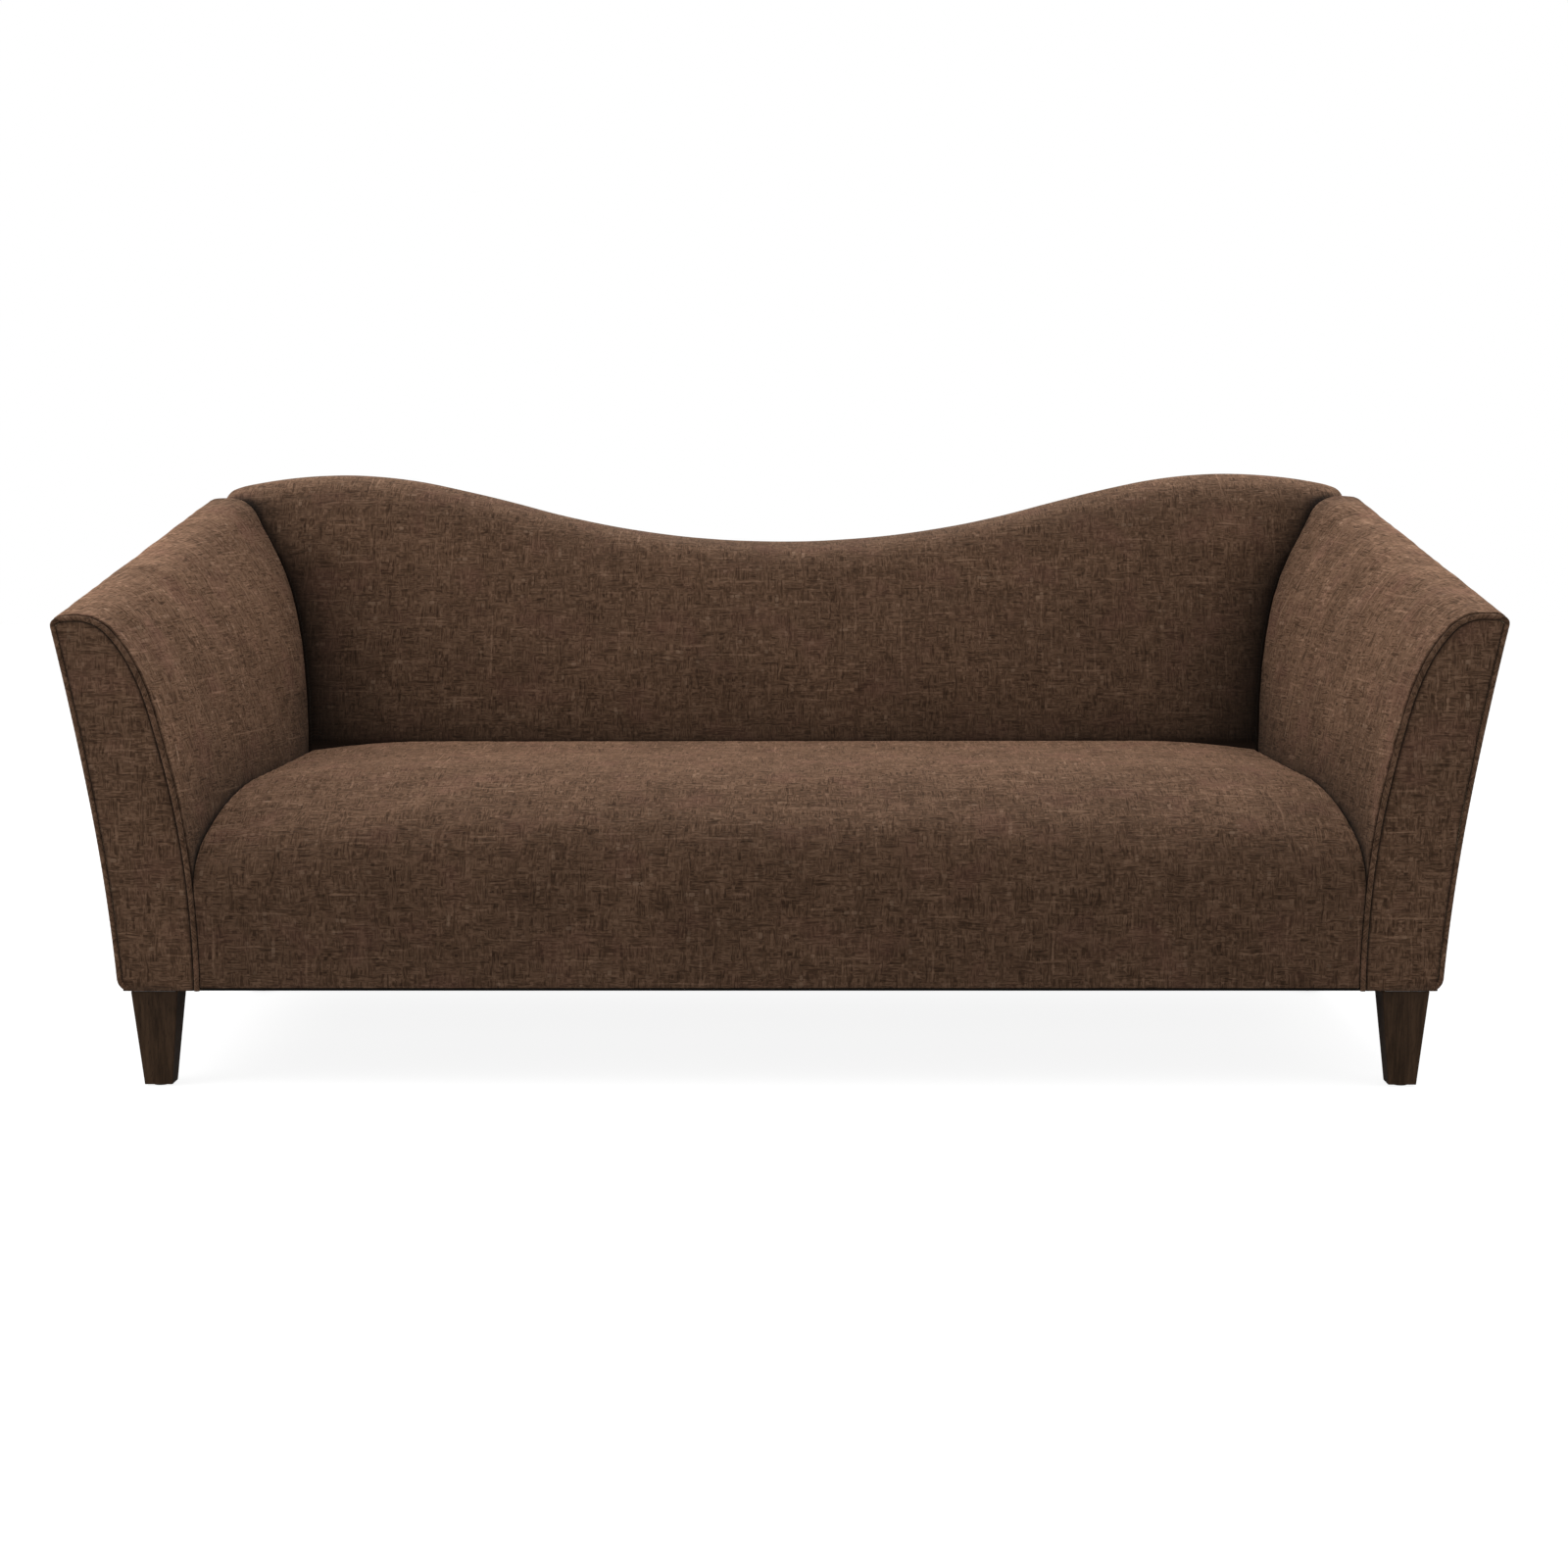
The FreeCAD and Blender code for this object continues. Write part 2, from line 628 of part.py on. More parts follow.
def raked_board(x0, z0, z1, thickness):
    points = [Vector(x0, face_y(z0) + post_front, z0), Vector(x0, rear_y(z0) - rear_gap, z0),
              Vector(x0, rear_y(z1) - rear_gap, z1), Vector(x0, face_y(z1) + post_front, z1)]
    return prism(points, Vector(thickness, 0, 0))


post_top = wing_floor - gap
add_pair("back_post", raked_board(side_in, rail_top, post_top, size("rail_thickness")))

tie_bottom = deck + gap
tie_front = face_y(tie_bottom + size("tie_height")) + post_front
tie_rear = tie_front + size("rail_thickness")
add_rail("back_tie_rail", -side_in, side_in, tie_front, tie_rear,
         tie_bottom, tie_bottom + size("tie_height"))


# The top of the back from end to end, lowered by a distance.
def lowered_top(distance):
    drop = Vector(0, 0, -distance)
    right = [[(point + drop, tangent) for point, tangent in piece] for piece in top_chain]
    left = [[(Vector(-point.x, 0, point.z), Vector(tangent.x, 0, -tangent.z))
             for point, tangent in reversed(piece)] for piece in reversed(right)]
    return left + right


def top_outline(upper, lower):
    top = edges_of(lowered_top(upper))
    low = reversed_edges(lowered_top(lower))
    link = Part.LineSegment(top[-1].lastVertex(True).Point, low[0].firstVertex(True).Point)
    return Part.Face(closed_wire(top + [link.toShape()] + low))


def rear_slab(near, far, low):
    # The layer between two distances in front of the rear plane.
    points = [Vector(-wide, rear_y(low) - near, low), Vector(-wide, rear_y(high) - near, high),
              Vector(-wide, rear_y(high) - far, high), Vector(-wide, rear_y(low) - far, low)]
    return prism(points, Vector(2 * wide, 0, 0))


rail_lift = top_padding + 3 * gap
rail_drop = rail_lift + size("top_rail_height")
outline = top_outline(rail_lift, rail_drop)
top_bar = outline.extrude(Vector(0, half_depth, 0))
rail = top_bar.common(rear_slab(rear_gap, rear_gap + size("rail_thickness"), underside))
rail = rail.common(box(-side_in, side_in, 0, half_depth, underside, high))
add_shape("back_top_rail", rail)

# Uprights stand midway between two seat straps, on the back rail.
upright_pitches = 1.5
upright_x = upright_pitches * size("strap_pitch") - size("rail_thickness") / 2
upright_top = back_top(upright_x) - rail_lift - gap
upright = raked_board(upright_x, rail_top, upright_top, size("rail_thickness"))
upright = upright.cut(top_bar.common(rear_slab(0, rear_gap + size("rail_thickness") + gap,
                                               underside)))
upright = upright.cut(box(0, side_in, tie_front - wide, tie_rear + gap, tie_bottom - gap,
                          tie_bottom + size("tie_height") + gap))
upright = sorted(upright.Solids, key=lambda solid: solid.Volume)[-1]
add_pair("back_upright", upright)


# Rails of the arms: bars between two four-sided ends.
def bar(ends):
    return loft([Part.makePolygon(points + [points[0]]) for points in ends], True)


def arm_rail_end(y, right, top):
    left = right - size("arm_rail_width")
    low = top - size("arm_rail_height")
    return [Vector(left, y, low), Vector(right, y, low), Vector(right, y, top), Vector(left, y, top)]


corner_front = arm_nodes(board_rear)[CORNER][0]
rail_front_top = corner_front.z - arm_padding - size("arm_rail_drop")
rail_front_right = corner_front.x - board_outer - cover - gap
rail_rear_top = post_top - gap
arm_rail_rear_y = face_y(rail_rear_top - size("arm_rail_height")) + post_front
end_a = arm_rail_end(board_rear, rail_front_right, rail_front_top)
end_b = arm_rail_end(arm_rail_rear_y + size("rail_thickness"), frame_half, rail_rear_top)
arm_rail = bar([end_a, end_b])
arm_rail = arm_rail.cut(raked_board(side_in, rail_top, post_top + size("rail_thickness"),
                                    size("frame_inset") + size("rail_thickness")))
arm_rail = arm_rail.cut(box(side_in, wide, arm_rail_rear_y, wide, underside, high))
add_pair("arm_top_rail", sorted(arm_rail.Solids, key=lambda solid: solid.Volume)[-1])


def tie_end(y):
    foot = inset(arm_chain(y, FOOT, CROWN), arm_padding + 2 * gap, side_axis)[0][0][0]
    left = foot.x + size("arm_front_waist_reach")
    right = left + size("rail_thickness")
    low = tie_bottom
    top = tie_bottom + size("tie_height")
    return [Vector(left, y, low), Vector(right, y, low), Vector(right, y, top), Vector(left, y, top)]


add_pair("arm_tie_rail", bar([tie_end(board_rear), tie_end(tie_front)]))

# Webbing: seat straps from the front rail to the back rail, back straps across the posts.
count = int(size("strap_count"))
straps = []
for index in range(count):
    middle = (index - (count - 1) / 2) * size("strap_pitch")
    straps.append(box(middle - size("strap_width") / 2, middle + size("strap_width") / 2,
                      board_rear, back_rail_rear, rail_top, rail_top + size("strap_thickness")))
add_shape("seat_webbing", Part.makeCompound(straps))

strap_near = size("back_foam") + gap
strap_far = strap_near + size("strap_thickness")
back_straps = []
for index in range(int(size("back_strap_count"))):
    low = tie_bottom + size("tie_height") + gap + size("back_strap_pitch") * index
    top = low + size("back_strap_width") * math.cos(math.radians(size("back_rake")))
    points = [Vector(-frame_half, face_y(low) + strap_near, low),
              Vector(-frame_half, face_y(top) + strap_near, top),
              Vector(-frame_half, face_y(top) + strap_far, top),
              Vector(-frame_half, face_y(low) + strap_far, low)]
    back_straps.append(prism(points, Vector(2 * frame_half, 0, 0)))
add_shape("back_webbing", Part.makeCompound(back_straps))

felt_low = rail_top + size("strap_thickness") + gap
felt_top = felt_low + size("felt_thickness")
felt_rear = face_y(rail_top) + post_front - gap
add_shape("deck_felt", box(-side_in, side_in, board_rear, felt_rear, felt_low, felt_top))

# Padding of the arms, from the front board to the face of the back.
behind_back_face = behind_face(-gap, 0)
deck_space = box(-wide, wide, board_rear - gap, wide, 0, deck)
face_rear = face_y(underside + size("arm_rear_height")) + size("arm_foam")
cover_front = front + size("welt_diameter") + gap
arm_foam = arm_band(board_front, face_rear, FOOT, CORNER, cover + gap, arm_padding)
add_pair("arm_foam", arm_foam.cut(behind_back_face).cut(deck_space))
inside = arm_band(cover_front, face_rear, FOOT, CORNER_END, 0, cover)
add_pair("inside_arm_cover", inside.cut(behind_back_face).cut(deck_space))

# The outside of the arm runs on to the rear, lower behind the face of the back.
rear_end = rear_y(high)
behind_low = behind_face(-gap, wing_floor - gap)
liner = arm_band(board_front, rear_end, CORNER_END, HEM, cover + gap,
                 cover + gap + size("arm_liner"))
liner = liner.cut(behind_rear(-rear_gap, 0)).cut(behind_low)
add_pair("outside_arm_liner", liner)
side_cover = arm_band(cover_front, rear_end, CORNER_END, LAST, 0, cover)
side_cover = side_cover.cut(behind_rear(0, 0)).cut(behind_low)
add_pair("outside_arm_cover", side_cover)


# Front panel of the arm, and the welt round its inner edge, top and outer edge.
def panel_face(y, distance):
    line = inset(arm_chain(front, FOOT, LAST), distance, side_axis)
    corners = [Vector(hem_end, front, underside + distance), Vector(hem_end, front, underside)]
    outline = Part.Face(closed_wire(edges_of(line[:-2]), *corners))
    outline.translate(Vector(0, y - front, 0))
    return outline


panel_front = front + size("panel_setback")
panel = panel_face(panel_front, size("welt_diameter") + gap)
add_pair("arm_front_panel", panel.extrude(Vector(0, size("panel_thickness"), 0)))

welt_radius = size("welt_diameter") / 2
welt_line = inset(arm_chain(front, FOOT, LAST), welt_radius, side_axis)
welt_line = [[(p + Vector(0, welt_radius, 0), t) for p, t in piece] for piece in welt_line]
welt_path = Part.Wire(edges_of(welt_line))
welt_start, welt_tangent = welt_line[0][0]
ring = Part.Wire(Part.makeCircle(welt_radius, welt_start, welt_tangent))
welt = welt_path.makePipeShell([ring], True, False)
print("welt volume share %.4f" % (welt.Volume / (math.pi * welt_radius ** 2 * welt_path.Length)))
add_pair("arm_welt", welt)


# The back. Each section stands in a plane across the sofa's width.
def swell(x):
    # Full in the middle, nothing where the face meets the arms.
    flat = min(abs(x) / (inner_foot - size("arm_toe_in")), 1)
    return size("back_crown") * (1 - flat ** 4)


def end_shrink(x):
    share = max(0, (abs(x) - end_start) / size("back_end_round"))
    return size("back_end_thinning") * (1 - math.sqrt(max(1 - share * share, 0)))


lean = 90 - size("back_rake")
rear_lean = math.degrees(math.atan(rear_slope))
# How far up the face its fullest point lies.
crown_share = 0.5


def back_chain(x, place):
    # The outline that belongs at x, set at this place across the sofa.
    top = back_top(x)
    shrink = end_shrink(x)
    low = deck + cover
    seat_line = size("seat_height") + gap
    front_high = top - size("back_front_radius")
    middle = seat_line + (front_high - seat_line) * crown_share
    crest_y = rear_y(top) - size("back_rear_radius") - shrink
    rear_z = top - size("back_rear_radius")
    up = direction(lean, end_axis)

    def on_face(z, forward):
        return Vector(place, face_y(z) - forward + shrink, z)

    return chain([
        (on_face(low, 0), up),
        (on_face(seat_line, 0), up),
        (on_face(middle, swell(x)), up),
        (on_face(front_high, 0), up),
        (Vector(place, crest_y, top), direction(0, end_axis)),
        (Vector(place, rear_y(rear_z) - shrink, rear_z), direction(-90 - rear_lean, end_axis)),
    ])


def back_outline(x, place, distance):
    # The back's padding from its outer outline to the flat space for the frame.
    line = inset(back_chain(x, place), distance, end_axis)
    end = line[-1][2][0]
    low = line[0][0][0].z
    shelf = back_top(x) - top_padding
    inner_top = face_y(shelf) + size("back_foam")
    inner_low = face_y(low) + size("back_foam")
    corners = [Vector(place, end.y + (shelf - end.z) * rear_slope, shelf),
               Vector(place, inner_top, shelf), Vector(place, inner_low, low)]
    return closed_wire(edges_of(line), *corners)


# Where the sections stand, as shares of the long part and then of the rounded end.
long_steps = (0, 0.17, 0.34, 0.49, 0.62, 0.75, 0.86, 0.94, 1)
round_steps = (0.5, 0.85, 1)
right_stations = [step * end_start for step in long_steps]
right_stations += [end_start + step * size("back_end_round") for step in round_steps]
back_stations = [-x for x in reversed(right_stations[1:])] + right_stations


# Behind the arms the back's padding tucks in by their padding and leaves room for a post.
corner_space = arm_side(arm_padding, face_y(0), rear_end)
corner_space = corner_space.common(box(0, wide, face_y(0), rear_end, 0, wing_floor))
corner_spaces = [corner_space, mirrored(corner_space)]
foam_share = (back_half - cover - gap) / back_half
foam = loft([back_outline(x, x * foam_share, cover + gap) for x in back_stations], False)
back_cover = loft([band_wire(back_chain(x, x), 0, cover, end_axis) for x in back_stations], False)
# The cover closes each end of the back with a flat piece.
end_piece = Part.Face(back_outline(back_half, back_half - cover, 0)).extrude(Vector(cover, 0, 0))
back_cover = back_cover.fuse([end_piece, mirrored(end_piece)])
for space in corner_spaces:
    foam = foam.cut(space)
    back_cover = back_cover.cut(space)
add_shape("back_foam", foam)
add_shape("inside_back_cover", back_cover)

# The outside back is one flat panel from the underside to the roll of the top.
top_edges = edges_of(lowered_top(size("back_rear_radius") + gap))
outer_low = outer_foot - cover - 2 * gap
outer_high = outer_foot + size("arm_rear_outer_reach") - cover - 4 * gap
outside = Part.Face(closed_wire(top_edges, Vector(outer_high, 0, wing_floor),
                                Vector(outer_low, 0, underside + size("arm_foot_radius")),
                                Vector(hem_end, 0, underside + cover + gap),
                                Vector(hem_end, 0, underside), Vector(-hem_end, 0, underside),
                                Vector(-hem_end, 0, underside + cover + gap),
                                Vector(-outer_low, 0, underside + size("arm_foot_radius")),
                                Vector(-outer_high, 0, wing_floor)))
outside = outside.extrude(Vector(0, half_depth * 2, 0)).common(rear_slab(0, cover, 0))
add_shape("outside_back_cover", outside)

# The seat rolls over its front edge and falls a little towards the arms.
arm_spaces = [arm_side(-gap, front - cover, face_y(crest_top))]
arm_spaces.append(mirrored(arm_spaces[0]))
seat_front = front + size("seat_setback")
seat_fall_end = inner_foot + size("seat_setback")
seat_flat = size("seat_flat_half")


def seat_chain(x):
    fall = max(0, (abs(x) - seat_flat) / (seat_fall_end - seat_flat))
    drop = size("seat_crown") * fall * fall
    rear_z = size("seat_height") - drop
    roll_z = size("seat_height") - size("seat_roll_drop") - drop
    straight_z = underside + size("seat_front_straight") - drop / 2
    return chain([
        (Vector(x, seat_front, underside + size("seat_hem")), direction(90, end_axis)),
        (Vector(x, seat_front, straight_z), direction(90, end_axis)),
        (Vector(x, seat_front + size("seat_roll_depth"), roll_z),
         direction(size("seat_roll_angle"), end_axis)),
        (Vector(x, face_y(rear_z) - gap, rear_z), direction(size("seat_rear_angle"), end_axis)),
    ])


def seat_foam_wire(x):
    line = inset(seat_chain(x), cover + gap, end_axis)
    start = line[0][0][0]
    end = line[-1][2][0]
    low = Vector(x, face_y(deck) - gap, deck)
    return closed_wire(edges_of(line), low, Vector(x, board_rear - gap, deck),
                       Vector(x, board_rear - gap, start.z))


# Its sections stand on the level part and, as shares, on the part that falls.
seat_half = inner_foot + size("arm_front_waist_reach")
level_steps = (0, 0.6, 1)
fall_steps = (0.29, 0.58, 0.82, 1)
seat_right = [step * seat_flat for step in level_steps]
seat_right += [seat_flat + step * (seat_half - seat_flat) for step in fall_steps]
seat_stations = [-x for x in reversed(seat_right[1:])] + seat_right
seat_foam = loft([seat_foam_wire(x) for x in seat_stations], False)
seat_cover = loft([band_wire(seat_chain(x), 0, cover, end_axis) for x in seat_stations], False)
for space in arm_spaces:
    seat_foam = seat_foam.cut(space)
    seat_cover = seat_cover.cut(space)
add_shape("seat_foam", seat_foam.cut(behind_back_face))
add_shape("seat_cover", seat_cover.cut(behind_back_face))

# Cloth under the frame, notched round the legs.
cloth_rear = rear_y(underside) - cover
cloth = box(-frame_half, frame_half, board_front, cloth_rear,
            underside - size("dust_cover_thickness"), underside)
for x, y in leg_places.values():
    across = size("leg_top_width") / 2 + cover
    deep = size("leg_top_depth") / 2 + cover
    cloth = cloth.cut(box(x - across, x + across, y - deep, y + deep, 0, underside))
add_shape("dust_cover", cloth)

# Every object is sound before anything is written.
doc.recompute()
for item in doc.Objects:
    if "Invalid" in item.State or "Error" in item.State:
        raise ValueError("%s failed: %s" % (item.Label, item.State))
faulty = [name for name, item in pieces_made.items()
          if item.Shape.isNull() or not item.Shape.isValid() or item.Shape.Volume <= 0]
if faulty:
    raise ValueError("no sound shape: " + ", ".join(faulty))

os.makedirs("parts", exist_ok=True)
for name, item in pieces_made.items():
    item.Shape.exportStep(os.path.join("parts", name + ".step"))
    bounds = item.Shape.optimalBoundingBox(False, False)
    print("%-26s %2d solid %9.1f cm3  x %7.1f %7.1f  y %7.1f %7.1f  z %6.1f %6.1f" % (
        name, len(item.Shape.Solids), item.Shape.Volume / 1000, bounds.XMin, bounds.XMax,
        bounds.YMin, bounds.YMax, bounds.ZMin, bounds.ZMax))
print(len(pieces_made), "pieces")
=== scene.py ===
import json
import math
from functools import reduce
import bmesh
import bpy
import numpy as np
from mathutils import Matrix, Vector


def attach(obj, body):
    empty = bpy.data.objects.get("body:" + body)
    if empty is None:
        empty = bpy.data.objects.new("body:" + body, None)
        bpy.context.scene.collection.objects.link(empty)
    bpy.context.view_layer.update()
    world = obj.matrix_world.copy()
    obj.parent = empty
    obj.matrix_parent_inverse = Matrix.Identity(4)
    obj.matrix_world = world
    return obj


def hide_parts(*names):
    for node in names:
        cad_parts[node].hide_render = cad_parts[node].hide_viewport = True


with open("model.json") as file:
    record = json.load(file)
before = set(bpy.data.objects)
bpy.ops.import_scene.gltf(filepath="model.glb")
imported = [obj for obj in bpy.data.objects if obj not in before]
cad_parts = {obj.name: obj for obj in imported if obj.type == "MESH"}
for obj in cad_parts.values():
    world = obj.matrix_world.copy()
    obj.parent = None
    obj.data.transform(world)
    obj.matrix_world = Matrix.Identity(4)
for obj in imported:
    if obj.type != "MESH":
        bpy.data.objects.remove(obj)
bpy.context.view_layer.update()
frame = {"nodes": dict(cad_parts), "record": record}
print("frame loaded:", len(frame["nodes"]), "nodes")

# Shared sizes of the sofa in metres, the same places that the solids have.
sofa = {
    "front": -0.445,            # front of the arms
    "depth": 0.890,
    "underside": 0.150,
    "innerFoot": 0.867,         # inner side of an arm at its front foot
    "outerFoot": 0.991,         # outer side of an arm at its foot
    "backHalf": 0.985,          # end of the back
    "seatHeight": 0.468,
    "seatDepth": 0.600,
    "rake": 19.0,               # lean of the face of the back, degrees
    "crestTop": 0.922,
    "rearHigh": 0.884,          # where the rear of the back starts to roll over
    "rearSlope": 0.03406,
    "gap": 0.0003,              # play between soft pieces
    "thickness": 0.002,         # cloth with its lining
}


# Curves
def heading(angle):
    # Unit vectors at these angles.
    return np.stack([np.cos(angle), np.sin(angle)], axis=-1)


# A chain runs through nodes with a given direction at each. Two arcs that touch join each
# pair of nodes: their joint lies midway between the ends of two equal tangents.
def chainArcs(nodes, angles):
    start, end = nodes[..., :-1, :], nodes[..., 1:, :]
    first, last = heading(angles[..., :-1]), heading(angles[..., 1:])
    step = end - start
    square = (step * step).sum(-1)
    bend = 2 * (1 - (first * last).sum(-1))
    reach = (step * (first + last)).sum(-1)
    straight = bend < 1e-9
    safeBend = np.where(straight, 1, bend)
    tangent = np.where(straight, square / (2 * reach),
                       (np.sqrt(reach ** 2 + safeBend * square) - reach) / safeBend)[..., None]
    joint = (start + first * tangent + end - last * tangent) / 2
    turn, length, angle = [], [], angles[..., :-1]
    for near, far in ((start, joint), (joint, end)):
        chord = far - near
        half = np.arctan2(chord[..., 1], chord[..., 0]) - angle
        half = (half + np.pi) % (2 * np.pi) - np.pi
        turn.append(2 * half)
        length.append(np.linalg.norm(chord, axis=-1) / np.sinc(half / np.pi))
        angle = angle + 2 * half
    shape = angles.shape[:-1] + (-1,)
    return np.stack(length, -1).reshape(shape), np.stack(turn, -1).reshape(shape)


# Points at these distances along a chain: the start plus, for every arc, the chord of the
# share of it that has been passed. The second result is the direction there.
def alongChain(nodes, angles, distance):
    length, turn = chainArcs(nodes, angles)
    passed = np.cumsum(length, -1) - length
    base = angles[..., :1] + np.cumsum(turn, -1) - turn
    point = nodes[..., :1, :] + np.zeros(distance.shape + (2,))
    angle = angles[..., :1] + np.zeros(distance.shape)
    for k in range(length.shape[-1]):
        whole, bend, way = length[..., k:k + 1], turn[..., k:k + 1], base[..., k:k + 1]
        share = np.clip((distance - passed[..., k:k + 1]) / whole, 0, 1)
        half = bend * share / 2
        chord = whole * share * np.sinc(half / np.pi)
        point = point + chord[..., None] * heading(way + half)
        angle = angle + bend * share
    return point, angle


def chainLength(nodes, angles):
    return chainArcs(nodes, angles)[0].sum(-1)


# The length of each chain of a grid, and both coordinates of the point at a share of it.
def atShare(nodes, angles, share):
    whole = chainLength(nodes, angles)
    point = alongChain(nodes, angles, (share * whole)[..., None])[0]
    return whole, point[..., 0, 0], point[..., 0, 1]


# Evenly spaced points along one chain, with their directions and distances.
def chainTable(nodes, angles, count):
    distance = np.linspace(0, chainLength(nodes, angles), count)
    point, way = alongChain(nodes[None], angles[None], distance[None])
    return point[0], way[0], distance


# Nodes of a grid of chains from pairs of coordinates, each a number or one for every chain.
def gridNodes(like, *pairs):
    return np.stack([np.stack([a + 0 * like, b + 0 * like], -1) for a, b in pairs], -2)


# Values from 0 to 1, evenly spaced, with more of them within a short share of either end.
def clustered(count, low, high, extra=9):
    values = [np.linspace(0, 1, count)]
    if low:
        values.append(np.linspace(0, low, extra))
    if high:
        values.append(1 - np.linspace(0, high, extra))
    values = np.unique(np.round(np.concatenate(values), 9))
    close = np.diff(values) < 0.075 / count
    keep = np.concatenate([[True], ~close])
    keep[-1] = True
    return values[keep]


def spread(across, along):
    return np.meshgrid(across, along, indexing="ij")


# Waves, folds and shades of cloth

# Smooth unevenness from crossed waves with set directions and phases, so it is the same each
# run. Its size is about 1.
def unevenness(a, b, wave, seed):
    draw, count = np.random.default_rng(seed), 24
    turn = draw.uniform(0, 2 * np.pi, count)
    size = wave * draw.uniform(0.6, 1.8, count)
    phase = draw.uniform(0, 2 * np.pi, count)
    total = np.zeros(np.broadcast(a, b).shape)
    for k in range(count):
        along = a * math.cos(turn[k]) + b * math.sin(turn[k])
        total = total + np.sin(2 * np.pi * along / size[k] + phase[k])
    return total / math.sqrt(count / 2)


# The same, but from 0 to 1 only, for cloth that boards lie right behind.
def swelling(a, b, wave, seed):
    return 0.5 + 0.5 * np.clip(unevenness(a, b, wave, seed) / 1.6, -1, 1)


# Waves of hand-pulled cloth: long ones, still where calm is 0, and a share of short ones.
def slackWaves(a, b, height, long, short, share, seed, calm=1):
    waves = unevenness(a, b, long, seed) * height * calm
    return waves + unevenness(a, b, short, seed + 1) * height * share


# Something that fades with distance: its strength times a falling exponential.
def fading(distance, strength, reach):
    return strength * np.exp(-np.maximum(distance, 0) / reach)


# What fades with each of these distances by a piece's own values, all added up.
def fadings(values, **distances):
    return sum(fading(distance, *values[name]) for name, distance in distances.items())


# Short folds square to a seam: a sine of the run along it, whose phase wanders, that fades
# with the distance from it.
def seamPulls(distance, run, height, reach, wave, wander, slow, seed):
    phase = 2 * np.pi * run / wave + wander * unevenness(run, 0 * run, slow, seed)
    return fading(distance, height, reach) * np.sin(phase)


# Share of the way from one value to another, held between 0 and 1.
def rise(value, low, high):
    return np.clip((value - low) / (high - low), 0, 1)


# How freely cloth waves: 0 at the nearest of its seams, 1 further than a run from all of them.
def calmBy(run, *distances):
    return rise(reduce(np.minimum, distances), 0, run)


# A bell round a place, from 1 there down to nothing.
def bell(value, place, width):
    return np.exp(-((value - place) / width) ** 2)


# Depth below a rolled edge at this distance from it: a quarter circle of the given radius.
def edgeRoll(distance, radius):
    inside = np.clip(1 - np.maximum(distance, 0) / radius, 0, 1)
    return radius * (1 - np.sqrt(np.clip(1 - inside ** 2, 0, 1)))


# Several shares of light lost together: one less the product of what each leaves.
def together(*shares):
    return 1 - reduce(lambda left, share: left * (1 - share), shares, 1.0)


# Places on the flat cloth in metres. Each piece is cut from a part of it of its own.
def onCloth(a, b, start, first=3.0):
    return np.stack([a + first, b + start], -1)


# Meshes

# Unit normals: the cross product of the differences along both directions of the grid.
def surfaceNormals(points):
    normal = np.cross(np.gradient(points, axis=0), np.gradient(points, axis=1))
    size = np.linalg.norm(normal, axis=-1, keepdims=True)
    return normal / np.maximum(size, 1e-12)


def addObject(name, data):
    thing = bpy.data.objects.new(name, data)
    bpy.context.scene.collection.objects.link(thing)
    return thing


def reworkMesh(mesh, change):
    work = bmesh.new()
    work.from_mesh(mesh)
    change(work)
    work.to_mesh(mesh)
    work.free()


def dropLoose(work):
    loose = [v for v in work.verts if not v.link_faces]
    bmesh.ops.delete(work, geom=loose, context="VERTS")


def joinDoubles(work):
    bmesh.ops.remove_doubles(work, verts=work.verts, dist=1e-6)


def makeGrid(name, points, flat, marks=None, keep=None, turned=False, closed=False):
    # A sheet of quads. flat is each point's place on the flat cloth, marks holds the painted shade
    # by how near a seam and how deep in a corner it is (below nought, painted light), keep is a
    # mask of the quads that stay, closed joins the last column to the first.
    rows, columns = points.shape[:2]
    index = np.arange(rows * columns).reshape(rows, columns)
    if closed:
        index = np.concatenate([index, index[:, :1]], axis=1)
    quads = np.stack([index[:-1, :-1], index[1:, :-1], index[1:, 1:], index[:-1, 1:]], -1)
    if turned:
        quads = quads[..., ::-1]
    if keep is not None:
        quads = quads[keep]
    mesh = bpy.data.meshes.new(name)
    mesh.from_pydata(points.reshape(-1, 3).tolist(), [], quads.reshape(-1, 4).tolist())
    corners = np.zeros(len(mesh.loops), np.int32)
    mesh.loops.foreach_get("vertex_index", corners)
    layer = mesh.uv_layers.new(name="cloth")
    layer.data.foreach_set("uv", flat.reshape(-1, 2)[corners].astype(np.float32).ravel())
    for title, values in (marks or {}).items():
        mark = mesh.attributes.new(title, "FLOAT", "POINT")
        mark.data.foreach_set("value", np.clip(values, -0.5, 1).reshape(-1).astype(np.float32))
    mesh.polygons.foreach_set("use_smooth", np.ones(len(mesh.polygons), bool))
    mesh.update()
    if keep is not None:
        reworkMesh(mesh, dropLoose)
    return addObject(name, mesh)


def dress(piece, material, nodes, wall=sofa["thickness"]):
    # What every piece of the sofa has: the inner side and rims of its cloth, a finish, its
    # body, its slot and its solids.
    if wall:
        shell = piece.modifiers.new("wall", "SOLIDIFY")
        shell.thickness = wall
        shell.offset = -1
    piece.data.materials.append(material)
    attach(piece, "root")
    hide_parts(*nodes)
    print("made", piece.name, len(piece.data.polygons), "faces")


# Rows that close the end of a sheet: its last row brought down to a height by shares.
def closingRows(rim, flatRim, height, shares, slides):
    drop = np.minimum(rim[:, 2], height) - rim[:, 2]
    rows = [rim + np.stack([0 * drop, 0 * drop, drop * share], -1) for share in shares]
    return np.array(rows), np.array([flatRim + (slide, 0) for slide in slides])


